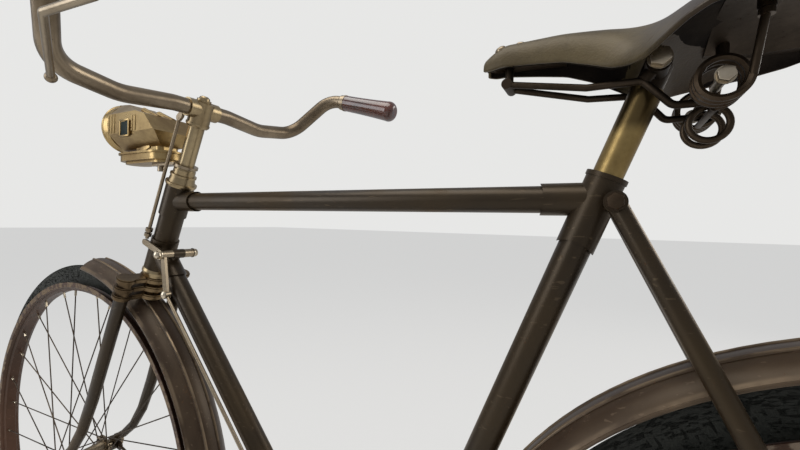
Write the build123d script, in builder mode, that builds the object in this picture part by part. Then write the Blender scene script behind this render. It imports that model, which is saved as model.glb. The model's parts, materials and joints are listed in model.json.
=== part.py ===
"""A gentleman's roadster bicycle: lugged diamond frame, triple-plate fork crown, rod brake, brass lamp.

Row frame: +X forward, +Y to the rider's left, +Z up, in millimetres.
The origin is on top of the saddle, where the rider sits.
"""
from build123d import *
from math import atan2, ceil, cos, degrees, pi, radians, sin, sqrt
import os

os.makedirs("parts", exist_ok=True)

# Wheels: 28 x 1 1/2 inch, rims with rolled shoulders for blocks that press outwards
bead_seat_diameter = 635.0
tyre_width = 38.0
rim_width = 33.0
rim_depth = 16.0
rim_lip_height = 6.5
rim_well_half_width = 9.0
rim_shoulder_rise = 4.0
tyre_bed_half_width = 10.0
spoke_radius = 1.0
spoke_lean = 75.0
front_spoke_count = 32
rear_spoke_count = 40

# Frame geometry
head_angle = 67.5
seat_angle = 68.5
seat_tube_length = 589.0
top_tube_length = 588.0
bracket_drop = 75.5
fork_rake = 60.0
head_above_top_tube = 26.0
down_tube_above_head_end = 28.0
saddle_height = 985.0
saddle_behind_bracket = 300.0
guard_to_seat_tube = 5.0

# Tubes, lugs and fits
main_tube_radius = 14.3
top_tube_radius = 12.7
head_tube_radius = 17.5
stay_radius = 7.8
seat_post_radius = 12.7
lug_wall = 2.2
lug_reach = 34.0
lug_scallop_radius = 24.0
lug_scallop_depth = 6.0
lower_head_lug_height = 50.0
upper_head_lug_drop = 22.0
bracket_radius = 20.0
bracket_width = 68.0
running_clearance = 0.05
seat_gap = 0.3
far_out = 90.0

# Drive train: inch-pitch block chain
chain_pitch = 25.4
chainwheel_teeth = 22
sprocket_teeth = 9
chain_line = 45.0
block_height = 8.6
block_width = 4.8
block_centres = 10.2
side_plate_thickness = 1.6
link_nose = 3.0
tooth_thickness = 3.2
tooth_clearance = 0.6
crank_length = 170.0
crank_turn = 38.0
crank_axle_radius = 8.0
pedal_axle_radius = 5.5

# Fork and steering
steerer_radius = 12.7
lower_race_height = 13.0
crown_half_width = 44.0
crown_plate_count = 3
crown_plate_thickness = 8.0
crown_plate_gap = 6.0
blade_depth_radius = 12.0
blade_width_radius = 8.5
crown_hub_radius = 21.7
front_end_half_width = 50.0
rear_end_half_width = 57.0
end_plate_thickness = 5.0
stay_eye_thickness = 2.0
stay_eye_width = 18.0
axle_radius = 4.75
axle_nut_radius = 8.5
axle_nut_length = 9.0
axle_free_end = 8.0
carrier_eye_radius = 2.6
stem_radius = 11.1
stem_lug_radius = 15.5
bar_radius = 11.1
bar_above_top_tube = 136.0

# Mudguards: channels with two raised beads and rolled edges
guard_half_width = 30.0
guard_crown_rise = 17.0
guard_wall = 1.6
guard_bead_radius = 2.2
guard_bead_y = 10.0
guard_edge_radius = 1.9
front_guard_clearance = 19.0
rear_guard_clearance = 29.5
guard_stay_radius = 2.3

# Reference points
wheel_radius = bead_seat_diameter / 2 + tyre_width
ground_z = -saddle_height
axle_z = ground_z + wheel_radius
bracket = Vector(saddle_behind_bracket, 0, axle_z - bracket_drop)
seat_up = Vector(-cos(radians(seat_angle)), 0, sin(radians(seat_angle)))
seat_node = bracket + seat_up * seat_tube_length
head_node = seat_node + Vector(top_tube_length, 0, 0)
steer_up = Vector(-cos(radians(head_angle)), 0, sin(radians(head_angle)))
steer_front = Vector(sin(radians(head_angle)), 0, cos(radians(head_angle)))
head_top = head_node + steer_up * head_above_top_tube

# The fork is as long as its wheel, its mudguard and its crown need, and the head tube takes what is left.
guard_arc_radius = (guard_half_width**2 + guard_crown_rise**2) / (2 * guard_crown_rise)
guard_bead_drop = guard_arc_radius - sqrt(guard_arc_radius**2 - guard_bead_y**2)
guard_bead_rise = guard_bead_radius - guard_bead_drop
front_guard_radius = wheel_radius + front_guard_clearance
crown_reach = front_guard_radius + guard_bead_rise + seat_gap
crown_depth = crown_plate_count * crown_plate_thickness + (crown_plate_count - 1) * crown_plate_gap
fork_run = sqrt(crown_reach**2 - (fork_rake - crown_hub_radius) ** 2)
fork_length = lower_race_height + seat_gap + crown_depth + fork_run
head_below_top_tube = ((head_node + steer_front * fork_rake).Z - axle_z) / steer_up.Z - fork_length
head_bottom = head_node - steer_up * head_below_top_tube
down_node = head_bottom + steer_up * down_tube_above_head_end
crown_top = head_bottom - steer_up * (lower_race_height + seat_gap)
crown_bottom = crown_top - steer_up * crown_depth
front_axle_centre = crown_bottom + steer_front * fork_rake - steer_up * fork_run
bar_centre = head_node + steer_up * (bar_above_top_tube / sin(radians(head_angle)))
rear_nut_start = rear_end_half_width + end_plate_thickness + stay_eye_thickness + 2 * seat_gap
rear_nut_face = rear_nut_start + axle_nut_length

# The rear wheel stands as far back as its mudguard needs, in whole links of chain.
rear_guard_radius = wheel_radius + rear_guard_clearance
chainwheel_radius = chainwheel_teeth * chain_pitch / (2 * pi)
sprocket_radius = sprocket_teeth * chain_pitch / (2 * pi)
radius_step = chainwheel_radius - sprocket_radius
guard_room = rear_guard_radius + main_tube_radius + guard_to_seat_tube
least_set_back = (guard_room + bracket_drop * cos(radians(seat_angle))) / sin(radians(seat_angle))
least_chain_stay = sqrt(least_set_back**2 + bracket_drop**2)


def chain_loop_length(centres):
    """Length of a belt round both pitch circles at this distance between their centres."""
    lean = atan2(radius_step, sqrt(centres**2 - radius_step**2))
    return 2 * centres * cos(lean) + chainwheel_radius * (pi + 2 * lean) + sprocket_radius * (pi - 2 * lean)


chain_links = ceil(chain_loop_length(least_chain_stay) / chain_pitch)
chain_stay_length = least_chain_stay
for correction in range(20):
    chain_stay_length -= (chain_loop_length(chain_stay_length) - chain_links * chain_pitch) / 2
rear_axle_centre = bracket + Vector(-sqrt(chain_stay_length**2 - bracket_drop**2), 0, bracket_drop)


def across(point, y):
    """The same place at another distance from the middle plane."""
    return Vector(point.X, y, point.Z)


def rod(start, end, radius, end_radius=None, mode=Mode.ADD):
    """Adds a straight round bar to the part in hand, tapered if a second radius is given."""
    run = end - start
    with BuildSketch(Plane(origin=start, z_dir=run)) as section:
        Circle(radius)
    if end_radius is None:
        extrude(section.sketch, amount=run.length, mode=mode)
    else:
        with BuildSketch(Plane(origin=end, z_dir=run)) as far_section:
            Circle(end_radius)
        loft([section.sketch, far_section.sketch], mode=mode)


def stack(start, direction, rows):
    """Adds round steps one on the next from rows of length, radius and end radius; returns the far end."""
    for length, radius, end_radius in rows:
        end = start + direction * length
        rod(start, end, radius, end_radius if end_radius != radius else None)
        start = end
    return start


def cross_rod(point, from_y, to_y, radius, mode=Mode.ADD):
    """Adds a round bar that runs across the bicycle."""
    rod(across(point, from_y), across(point, to_y), radius, mode=mode)


def bore(start, end, radius):
    """Cuts a round hole with room for a bar of this radius to turn in."""
    rod(start, end, radius + running_clearance, mode=Mode.SUBTRACT)


def cross_bore(point, radius):
    """Cuts such a hole right across the bicycle."""
    bore(across(point, -far_out), across(point, far_out), radius)


def bent_rod(points, bend_radius, radius):
    """Adds a round bar along straight runs joined by arcs to the part in hand."""
    with BuildLine() as route:
        FilletPolyline(*points, radius=bend_radius)
    with BuildSketch(Plane(origin=route.wire() @ 0, z_dir=route.wire() % 0)) as section:
        Circle(radius)
    sweep(section.sketch, path=route.wire())


def flat_bar(start, end, width, thickness):
    """Adds a flat bar with round ends, its faces square to the across direction."""
    run = end - start
    middle_plane = Plane(origin=start - Vector(0, thickness / 2, 0), x_dir=run, z_dir=(0, 1, 0))
    with BuildSketch(middle_plane) as outline:
        with Locations((run.length / 2, 0)):
            SlotCenterToCenter(run.length, width)
    extrude(outline.sketch, amount=thickness)


def scallop(sleeve_end, direction):
    """Cuts the hollow sides of a lug's mouth, which leave a point above and below the tube."""
    centre = sleeve_end + direction * (lug_scallop_radius - lug_scallop_depth)
    cross_rod(centre, -far_out, far_out, lug_scallop_radius, mode=Mode.SUBTRACT)


# Frame: main triangle
top_tube_dir = Vector(-1, 0, 0)
down_dir = (bracket - down_node).normalized()
down_front = Vector(-down_dir.Z, 0, down_dir.X)
top_lug_end = head_node + top_tube_dir * (head_tube_radius + lug_reach)
down_lug_end = down_node + down_dir * (head_tube_radius + lug_reach + 6)
seat_lug_front = seat_node - top_tube_dir * (main_tube_radius + lug_reach)
seat_lug_bottom = seat_node - seat_up * (top_tube_radius + lug_reach)
bracket_down_end = bracket - down_dir * (bracket_radius + lug_reach)
bracket_seat_end = bracket + seat_up * (bracket_radius + lug_reach)
tube_inset = lug_reach * 0.6

# The rod brake's upper crank turns on a boss in the corner between the head tube and the down tube.
brake_side_y = 22.0
brake_pin_radius = 4.0
boss_radius = 7.0
boss_web_width = 12.0
boss_web_thickness = 8.0
boss_web_foot = 24.0
upper_boss_half_width = 9.0
lower_boss_half_width = 5.0
upper_pivot_rise = 41.0
upper_pivot_behind = 36.0
upper_pivot = head_bottom + steer_up * upper_pivot_rise - steer_front * upper_pivot_behind

with BuildPart() as head_tube:
    rod(head_bottom, head_top, head_tube_radius)
    rod(head_bottom, head_bottom + steer_up * lower_head_lug_height, head_tube_radius + lug_wall)
    rod(head_node - steer_up * upper_head_lug_drop, head_top, head_tube_radius + lug_wall)
    rod(head_node, top_lug_end, top_tube_radius + lug_wall)
    rod(down_node, down_lug_end, main_tube_radius + lug_wall)
    flat_bar(upper_pivot, down_node + down_dir * boss_web_foot, boss_web_width, boss_web_thickness)
    cross_rod(upper_pivot, -upper_boss_half_width, upper_boss_half_width, boss_radius)
    scallop(top_lug_end, top_tube_dir)
    scallop(down_lug_end, down_dir)
    top_socket = top_lug_end - top_tube_dir * tube_inset
    down_socket = down_lug_end - down_dir * tube_inset
    bore(top_socket, top_lug_end, top_tube_radius)
    bore(down_socket, down_lug_end, main_tube_radius)
    cross_bore(upper_pivot, brake_pin_radius)
    bore(head_bottom - steer_up, head_top + steer_up, steerer_radius)
head_tube.part.label = "head_tube"
export_step(head_tube.part, "parts/head_tube.step")

with BuildPart() as top_tube:
    rod(top_socket, seat_lug_front + top_tube_dir * tube_inset, top_tube_radius)
top_tube.part.label = "top_tube"
export_step(top_tube.part, "parts/top_tube.step")

with BuildPart() as down_tube:
    rod(down_socket, bracket_down_end + down_dir * tube_inset, main_tube_radius)
down_tube.part.label = "down_tube"
export_step(down_tube.part, "parts/down_tube.step")

with BuildPart() as seat_tube:
    rod(bracket_seat_end - seat_up * tube_inset, seat_lug_bottom + seat_up * tube_inset, main_tube_radius)
seat_tube.part.label = "seat_tube"
export_step(seat_tube.part, "parts/seat_tube.step")

# Seat cluster: the bolt closes the lug round the post and holds the seat stays by their eyes.
seat_lug_rise = 22.0
ear_half_width = 16.0
ear_radius = 9.0
seat_lip_height = 4.0
seat_bolt_drop = 4.0
slit_width = 1.8
seat_lug_top = seat_node + seat_up * seat_lug_rise
seat_lip_bottom = seat_lug_top - seat_up * seat_lip_height
seat_bolt = seat_node + Vector(-main_tube_radius, 0, -seat_bolt_drop)
post_bottom = seat_node - seat_up * (2 * seat_bolt_drop)
with BuildPart() as seat_lug:
    rod(seat_lug_bottom, seat_lip_bottom, main_tube_radius + lug_wall)
    rod(seat_lip_bottom, seat_lug_top, main_tube_radius + lug_wall + 1)
    rod(seat_node, seat_lug_front, top_tube_radius + lug_wall)
    cross_rod(seat_bolt, -ear_half_width, ear_half_width, ear_radius)
    scallop(seat_lug_front, top_tube_dir * -1)
    scallop(seat_lug_bottom, seat_up * -1)
    bore(seat_lug_bottom, seat_lug_bottom + seat_up * tube_inset, main_tube_radius)
    bore(seat_lug_front + top_tube_dir * tube_inset, seat_lug_front, top_tube_radius)
    rod(post_bottom, seat_lug_top, seat_post_radius, mode=Mode.SUBTRACT)
    slit_place = seat_lug_top + Vector(-main_tube_radius, -slit_width / 2, 0)
    with BuildSketch(Plane(origin=slit_place, x_dir=(1, 0, 0), z_dir=(0, 1, 0))) as slit:
        Rectangle(2 * ear_radius, 2 * seat_lug_rise)
    extrude(slit.sketch, amount=slit_width, mode=Mode.SUBTRACT)
seat_lug.part.label = "seat_lug"
export_step(seat_lug.part, "parts/seat_lug.step")

# Bottom bracket: a shell with sleeves for the main tubes and short sockets for the chain stays
stay_socket = Vector(-34, 2.6, 5)
stay_root_y = 22.0
lower_pivot_run = 40.0
lower_pivot_foot = bracket - down_dir * lower_pivot_run
lower_pivot = lower_pivot_foot + down_front * (main_tube_radius + lug_wall + boss_radius)
with BuildPart() as bottom_bracket:
    cross_rod(bracket, -bracket_width / 2, bracket_width / 2, bracket_radius)
    rod(bracket, bracket_down_end, main_tube_radius + lug_wall)
    rod(bracket, bracket_seat_end, main_tube_radius + lug_wall)
    for side in (1, -1):
        stay_root = across(bracket, side * stay_root_y)
        socket_run = Vector(stay_socket.X, side * stay_socket.Y, stay_socket.Z)
        rod(stay_root, stay_root + socket_run, stay_radius + lug_wall)
    scallop(bracket_down_end, down_dir * -1)
    scallop(bracket_seat_end, seat_up)
    flat_bar(lower_pivot, lower_pivot_foot + down_front * boss_web_width, boss_web_width, boss_web_thickness)
    cross_rod(lower_pivot, -lower_boss_half_width, lower_boss_half_width, boss_radius)
    bore(bracket_down_end, bracket_down_end + down_dir * tube_inset, main_tube_radius)
    bore(bracket_seat_end, bracket_seat_end - seat_up * tube_inset, main_tube_radius)
    cross_bore(bracket, crank_axle_radius)
    cross_bore(lower_pivot, brake_pin_radius)
bottom_bracket.part.label = "bottom_bracket"
export_step(bottom_bracket.part, "parts/bottom_bracket.step")

# Rear triangle
rear_end_y = rear_end_half_width + end_plate_thickness / 2
stay_front = across(bracket, stay_root_y) + stay_socket
stay_rear = rear_axle_centre + Vector(32, rear_end_y, -6)
with BuildPart() as chain_stays:
    for side in (1, -1):
        stay_points = [stay_front, stay_front + stay_socket * 5.5, stay_rear + Vector(seat_gap, 0, 0)]
        bent_rod([across(p, side * p.Y) for p in stay_points], 150, stay_radius)
chain_stays.part.label = "chain_stays"
export_step(chain_stays.part, "parts/chain_stays.step")

# Each seat stay hangs by its eye on the seat bolt, and a bridge above the mudguard ties the pair.
stay_top_y = ear_half_width + 9.5
stay_dir = (rear_axle_centre - seat_bolt).normalized()
seat_stay_end = rear_axle_centre - stay_dir * 34
stay_eye_face = stay_top_y + 8.5
stay_cap_face = stay_eye_face + 3.5
bridge_radius = 5.0
bridge = rear_axle_centre - stay_dir * (rear_guard_radius + guard_bead_rise + seat_gap + bridge_radius)
with BuildPart() as seat_stays:
    for side in (1, -1):
        stay_points = [
            across(seat_bolt + stay_dir * 2, side * stay_top_y),
            across(seat_bolt + stay_dir * 135, side * 43),
            across(seat_stay_end - stay_dir * seat_gap, side * rear_end_y),
        ]
        bent_rod(stay_points, 60, stay_radius)
        cross_rod(seat_bolt, side * (ear_half_width + seat_gap), side * stay_eye_face, ear_radius)
        cross_rod(seat_bolt, side * stay_eye_face, side * stay_cap_face, 7.0)
    cross_rod(bridge, -41, 41, bridge_radius)
seat_stays.part.label = "seat_stays"
export_step(seat_stays.part, "parts/seat_stays.step")

# Rear ends: plates with a slot that opens backwards for the axle, and an eye for a luggage carrier
rear_end_radius = 17.0
rear_end_arm_width = 15.0
slot_radius = axle_radius + 0.25
slot_length = 20.0
carrier_arm_width = 14.0
carrier_eye = rear_axle_centre + Vector(-7, 0, 25)
with BuildPart() as rear_dropouts:
    for side in (1, -1):
        plate_plane = Plane(origin=across(rear_axle_centre, side * rear_end_half_width), z_dir=(0, side, 0))
        with BuildSketch(plate_plane) as disc:
            Circle(rear_end_radius)
        extrude(disc.sketch, amount=end_plate_thickness)
        inner = across(rear_axle_centre, side * rear_end_y)
        for foot in (across(stay_rear, 0), seat_stay_end):
            arm_end = foot - (foot - rear_axle_centre).normalized() * (rear_end_arm_width / 2)
            flat_bar(inner, across(arm_end, side * rear_end_y), rear_end_arm_width, end_plate_thickness)
        flat_bar(inner, across(carrier_eye, side * rear_end_y), carrier_arm_width, end_plate_thickness)
        flat_bar(inner, inner + Vector(-16, 0, 0), 22, end_plate_thickness)
    cross_rod(carrier_eye, -far_out, far_out, carrier_eye_radius, mode=Mode.SUBTRACT)
    slot_start = across(rear_axle_centre, -far_out)
    with BuildSketch(Plane(origin=slot_start, x_dir=(1, 0, 0), z_dir=(0, 1, 0))) as slot:
        Circle(slot_radius)
        with Locations((-slot_length, 0)):
            Rectangle(2 * slot_length, 2 * slot_radius)
    extrude(slot.sketch, amount=2 * far_out, mode=Mode.SUBTRACT)
rear_dropouts.part.label = "rear_dropouts"
export_step(rear_dropouts.part, "parts/rear_dropouts.step")

with BuildPart() as rear_axle:
    rear_axle_end = rear_nut_face + axle_free_end
    cross_rod(rear_axle_centre, -rear_axle_end, rear_axle_end, axle_radius)
    for side in (1, -1):
        cross_rod(rear_axle_centre, side * rear_nut_start, side * rear_nut_face, axle_nut_radius)
rear_axle.part.label = "rear_axle"
export_step(rear_axle.part, "parts/rear_axle.step")

# Seat post and saddle
saddle_clamp_drop = 52.0
nose_ahead_of_clamp = 144.0
clamp_radius = 11.0
clamp_centre = bracket + seat_up * ((-saddle_clamp_drop - bracket.Z) / seat_up.Z)
post_top = clamp_centre - seat_up * 14
nose_x = clamp_centre.X + nose_ahead_of_clamp
with BuildPart() as seat_post:
    rod(post_bottom, post_top, seat_post_radius - running_clearance)
seat_post.part.label = "seat_post"
export_step(seat_post.part, "parts/seat_post.step")

# Saddle stations: behind the nose, half width, top, lower edge, share of the side that the round top takes
saddle_stations = (
    (0, 11, -23, -33, 0.5),
    (20, 16, -14, -35, 0.5),
    (74, 22, -9, -41, 0.5),
    (111, 30, -9, -54, 0.45),
    (131, 52, -9, -57, 0.5),
    (150, 88, -6, -50, 0.75),
    (187, 103, 0, -42, 0.75),
    (227, 103, 3, -37, 0.6),
    (262, 94, 1, -30, 0.55),
    (285, 72, -5, -24, 0.5),
)
nose_plate_end = 2
cantle_plate_start = 6
leather_thickness = 5.0
plate_thickness = 2.5
plate_clearance = leather_thickness + seat_gap
plate_inside = plate_clearance + plate_thickness
nose_plate_edge = -30.0
cantle_plate_edge = -22.0


def saddle_sections(shrink, first=0, last=len(saddle_stations) - 1):
    """Sketches across the saddle, this far inside the leather's outer face and open below."""
    sketches = []
    for index in range(first, last + 1):
        behind, half_width, top, edge, round_share = saddle_stations[index]
        behind += shrink if index == 0 else 0
        behind -= shrink if index == len(saddle_stations) - 1 else 0
        side_y = half_width - shrink
        high = -top + shrink
        low = -edge + 2 * shrink
        shoulder = high + (low - high) * round_share
        station = Plane(origin=(nose_x - behind, 0, 0), x_dir=(0, 1, 0), z_dir=(-1, 0, 0))
        with BuildSketch(station) as section:
            with BuildLine():
                Polyline((-side_y, shoulder), (-side_y, low), (side_y, low), (side_y, shoulder))
                ThreePointArc((side_y, shoulder), (0, high), (-side_y, shoulder))
            make_face()
        sketches.append(section.sketch)
    return sketches


with BuildPart() as saddle_leather:
    loft(saddle_sections(0), ruled=True)
    loft(saddle_sections(leather_thickness), ruled=True, mode=Mode.SUBTRACT)
saddle_leather.part.label = "saddle_leather"
export_step(saddle_leather.part, "parts/saddle_leather.step")

# Steel plates under the leather at the nose and at the cantle, and the bolts that stand up into them
wire_radius = 3.0
spring_radius = 2.6
coil_radius = 14.5
coil_inner_y = 30.0
coil_outer_y = 56.0
coil_pitch = 8.0
coil_centre = Vector(clamp_centre.X - 35, 0, -78)
coil_bottom = coil_centre - Vector(0, 0, coil_radius)
nose_bolt = Vector(nose_x - 24, 0, -48)
nose_bolt_radius = 4.0
cantle_bolt_radius = 5.0
leg_top = Vector(coil_centre.X - coil_radius - 6, coil_outer_y, -38)
with BuildPart() as nose_plate:
    loft(saddle_sections(plate_clearance, 0, nose_plate_end), ruled=True)
    loft(saddle_sections(plate_inside, 0, nose_plate_end + 1), ruled=True, mode=Mode.SUBTRACT)
    split(bisect_by=Plane.XY.offset(nose_plate_edge), keep=Keep.TOP)
with BuildPart() as cantle_plate:
    loft(saddle_sections(plate_clearance, cantle_plate_start), ruled=True)
    loft(saddle_sections(plate_inside, cantle_plate_start - 1), ruled=True, mode=Mode.SUBTRACT)
    split(bisect_by=Plane.XY.offset(cantle_plate_edge), keep=Keep.TOP)

# Saddle frame: rails from the nose bolt past the clamp to the coil springs
rail_rest = spring_radius + wire_radius + seat_gap
rail_points = [
    nose_bolt + Vector(0, 8, 0),
    Vector(nose_x - 93, 17, -63),
    Vector(clamp_centre.X + 10, 21, -64),
    Vector(clamp_centre.X - 10, 24, coil_bottom.Z + rail_rest),
    Vector(coil_bottom.X - 5, 24, coil_bottom.Z + rail_rest),
]
with BuildPart() as saddle_frame:
    rod(nose_bolt, nose_bolt + Vector(0, 0, 60), nose_bolt_radius)
    for side in (1, -1):
        bolt_foot = Vector(leg_top.X, side * leg_top.Y, leg_top.Z + seat_gap)
        rod(bolt_foot, bolt_foot + Vector(0, 0, 80), cantle_bolt_radius)
    loft(saddle_sections(plate_clearance), ruled=True, mode=Mode.INTERSECT)
    add([nose_plate.part, cantle_plate.part])
    rod(post_top + seat_up * seat_gap, clamp_centre + seat_up * 8, clamp_radius)
    cross_rod(clamp_centre, -30, 30, 9.0)
    cross_rod(clamp_centre, -35, 35, 5.0)
    for side in (1, -1):
        bent_rod([across(p, side * p.Y) for p in rail_points], 8, wire_radius)
        rod(across(clamp_centre, side * 21), across(rail_points[2], side * 21), 5.0)
    cross_rod(nose_bolt, -12, 12, 5.0)
saddle_frame.part.label = "saddle_frame"
export_step(saddle_frame.part, "parts/saddle_frame.step")

# Springs: a coil on each side about a cross axis, a leg up to the cantle, a cross bar with hanging rings
ring_radius = 13.0
ring_y = 12.0
coil_turns = 3.25
with BuildPart() as coil_spring:
    with BuildLine() as coil:
        Helix(pitch=coil_pitch, height=coil_pitch * coil_turns, radius=coil_radius)
    with BuildSketch(Plane(origin=coil.wire() @ 0, z_dir=coil.wire() % 0)) as section:
        RegularPolygon(spring_radius, 6)
    sweep(section.sketch, path=coil.wire(), is_frenet=True)

with BuildPart() as saddle_springs:
    with Locations(Plane(origin=across(coil_centre, coil_inner_y), x_dir=(0, 0, -1), z_dir=(0, 1, 0))):
        add(coil_spring.part)
    coil_end = Vector(coil_centre.X - coil_radius, coil_inner_y + coil_pitch * coil_turns, coil_centre.Z)
    rod(coil_end - Vector(0, 0, 1.5), across(leg_top, coil_end.Y), spring_radius)
    rod(across(leg_top, coil_end.Y) - Vector(0, 0, 4), across(leg_top, coil_end.Y), 4.5)
    ring_centre = across(coil_bottom, ring_y) + Vector(0, 0, 2 * spring_radius + seat_gap - ring_radius)
    with Locations(Plane(origin=ring_centre, z_dir=(0, 1, 0))):
        Torus(ring_radius, spring_radius)
    mirror(about=Plane.XZ)
    cross_rod(coil_bottom, -coil_inner_y, coil_inner_y, spring_radius)
saddle_springs.part.label = "saddle_springs"
export_step(saddle_springs.part, "parts/saddle_springs.step")

# Steering: headset rings from the head tube's end outwards: length, radius, end radius
lower_headset_rows = ((4, 19.5, 21.0), (3, 21.0, 21.0), (lower_race_height - seat_gap - 7, 20.0, 19.0))
upper_headset_rows = (
    (3, 20.5, 22.0),
    (3, 22.0, 22.0),
    (10, 19.0, 17.0),
    (3, 18.5, 18.5),
    (8, 15.5, 15.5),
    (3, 14.5, 13.5),
)
with BuildPart() as headset:
    stack(head_bottom - steer_up * seat_gap, steer_up * -1, lower_headset_rows)
    headset_top = stack(head_top + steer_up * seat_gap, steer_up, upper_headset_rows)
    bore(crown_top, headset_top + steer_up, steerer_radius)
headset.part.label = "headset"
export_step(headset.part, "parts/headset.step")

# Fork crown: each plate is a hub and two eyes joined by a waist, its edges stepped
crown_eye_radius = 13.6
crown_waist = 20.0
plate_edge_step = 1.3
plate_edge_height = 2.0
with BuildPart() as fork_crown:
    rod(crown_bottom, headset_top, steerer_radius)
    for index in range(crown_plate_count):
        plate_top = crown_top - steer_up * (index * (crown_plate_thickness + crown_plate_gap))
        middle_height = crown_plate_thickness - 2 * plate_edge_height
        for down, height, trim in (
            (0, plate_edge_height, plate_edge_step),
            (plate_edge_height, middle_height, 0),
            (plate_edge_height + middle_height, plate_edge_height, plate_edge_step),
        ):
            layer_plane = Plane(origin=plate_top - steer_up * down, x_dir=(0, 1, 0), z_dir=-steer_up)
            with BuildSketch(layer_plane) as layer:
                Circle(crown_hub_radius - trim)
                Rectangle(2 * crown_half_width, crown_waist - 2 * trim)
                with Locations((-crown_half_width, 0), (crown_half_width, 0)):
                    Circle(crown_eye_radius - trim)
            extrude(layer.sketch, amount=height)
    for side in (1, -1):
        sleeve_top = across(crown_top, side * crown_half_width)
        with BuildSketch(Plane(origin=sleeve_top, x_dir=(0, 1, 0), z_dir=-steer_up)) as sleeve:
            Ellipse(blade_width_radius, blade_depth_radius)
        extrude(sleeve.sketch, amount=crown_depth)
fork_crown.part.label = "fork_crown"
export_step(fork_crown.part, "parts/fork_crown.step")

# Fork blades: share of the way down, share of the rake, fore-and-aft and lateral share of the top's radii
blade_stations = (
    (0.00, 0.00, 1.00, 1.00),
    (0.52, 0.00, 0.88, 0.94),
    (0.70, 0.07, 0.78, 0.89),
    (0.83, 0.28, 0.68, 0.82),
    (0.93, 0.62, 0.60, 0.78),
    (1.00, 0.96, 0.53, 0.73),
)
fork_end_radius = 13.0
fork_end_arm_width = 11.0
blade_end = front_axle_centre + steer_up * 17 - steer_front * 3
blade_fall = (crown_bottom - blade_end).dot(steer_up)
blade_reach = (blade_end - crown_bottom).dot(steer_front)
with BuildPart() as fork_blades:
    for side in (1, -1):
        centres = []
        for down, out, depth_share, width_share in blade_stations:
            sideways = crown_half_width + (front_end_half_width - crown_half_width) * down
            centre = crown_bottom - steer_up * (blade_fall * down) + steer_front * (blade_reach * out)
            centres.append(across(centre, side * sideways))
        faces = []
        for index, (down, out, depth_share, width_share) in enumerate(blade_stations):
            before = centres[max(index - 1, 0)]
            after = centres[min(index + 1, len(centres) - 1)]
            heading = -steer_up if index == 0 else after - before
            with BuildSketch(Plane(origin=centres[index], x_dir=(0, 1, 0), z_dir=heading)) as section:
                Ellipse(blade_width_radius * width_share, blade_depth_radius * depth_share)
            faces.append(section.sketch)
        loft(faces, ruled=True)
        end_inner = side * (front_end_half_width - end_plate_thickness / 2)
        end_outer = side * (front_end_half_width + end_plate_thickness / 2)
        cross_rod(front_axle_centre, end_inner, end_outer, fork_end_radius)
        plate_middle = across(front_axle_centre, side * front_end_half_width)
        flat_bar(centres[-1] + steer_up * 3, plate_middle, fork_end_arm_width, end_plate_thickness)
    cross_bore(front_axle_centre, axle_radius)
fork_blades.part.label = "fork_blades"
export_step(fork_blades.part, "parts/fork_blades.step")

front_nut_start = front_end_half_width + end_plate_thickness / 2 + stay_eye_thickness + 2 * seat_gap
front_nut_face = front_nut_start + axle_nut_length
with BuildPart() as front_axle:
    front_axle_end = front_nut_face + axle_free_end / 2
    cross_rod(front_axle_centre, -front_axle_end, front_axle_end, axle_radius)
    for side in (1, -1):
        cross_rod(front_axle_centre, side * front_nut_start, side * front_nut_face, axle_nut_radius)
front_axle.part.label = "front_axle"
export_step(front_axle.part, "parts/front_axle.step")

# Stem and bar: a plain quill under a thick lug whose sleeve grips the bar, closed by a domed bolt
stem_lug_drop = 26.0
stem_lug_rise = 12.0
stem_sleeve_half_width = 24.0
stem_sleeve_wall = 2.4
stem_lug_height = stem_lug_drop + stem_lug_rise
stem_lug_rows = ((3, 14.0, 16.5), (3, 16.5, 16.5), (stem_lug_height - 6, stem_lug_radius, stem_lug_radius))
stem_bolt_rows = ((4, 10.0, 10.0), (3, 8.0, 7.0), (2, 7.0, 4.0))
stem_lug_bottom = bar_centre - steer_up * stem_lug_drop
with BuildPart() as stem:
    rod(headset_top, stem_lug_bottom, stem_radius)
    stem_lug_top = stack(stem_lug_bottom, steer_up, stem_lug_rows)
    stack(stem_lug_top, steer_up, stem_bolt_rows)
    cross_rod(bar_centre, -stem_sleeve_half_width, stem_sleeve_half_width, bar_radius + stem_sleeve_wall)
    cross_bore(bar_centre, bar_radius)
stem.part.label = "stem"
export_step(stem.part, "parts/stem.step")

# Handlebar: forward of the bar's middle, to the side, above the bar's middle, bend radius
bar_points = (
    (-205, 226, 32, 0),
    (-70, 216, 67, 40),
    (-6, 186, 3, 45),
    (2, 112, -7, 80),
    (0, 44, 0, 80),
)
grip_length = 102.0
ferrule_length = 11.0
bar_route = [bar_centre + Vector(x, y, z) for x, y, z, bend in bar_points]
grip_end = bar_route[0]
grip_dir = (bar_route[0] - bar_route[1]).normalized()
grip_start = grip_end - grip_dir * grip_length
bar_route[0] = grip_start - grip_dir * seat_gap
bends = [bend for x, y, z, bend in bar_points][1:]
with BuildPart() as handlebar:
    right_route = [Vector(p.X, -p.Y, p.Z) for p in bar_route]
    with BuildLine() as route:
        FilletPolyline(*(bar_route + right_route[::-1]), radius=bends + bends[::-1])
    with BuildSketch(Plane(origin=route.wire() @ 0, z_dir=route.wire() % 0)) as section:
        Circle(bar_radius)
    sweep(section.sketch, path=route.wire())
handlebar.part.label = "handlebar"
export_step(handlebar.part, "parts/handlebar.step")

ferrule_rows = ((2, 12.6, 13.4), (ferrule_length - 5, 13.4, 13.4), (3, 14.6, 14.6))
with BuildPart() as grip_ferrules:
    ferrule_start = bar_route[0] - grip_dir * ferrule_length
    stack(ferrule_start, grip_dir, ferrule_rows)
    bore(ferrule_start - grip_dir, bar_route[0] + grip_dir, bar_radius)
    mirror(about=Plane.XZ)
grip_ferrules.part.label = "grip_ferrules"
export_step(grip_ferrules.part, "parts/grip_ferrules.step")

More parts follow.
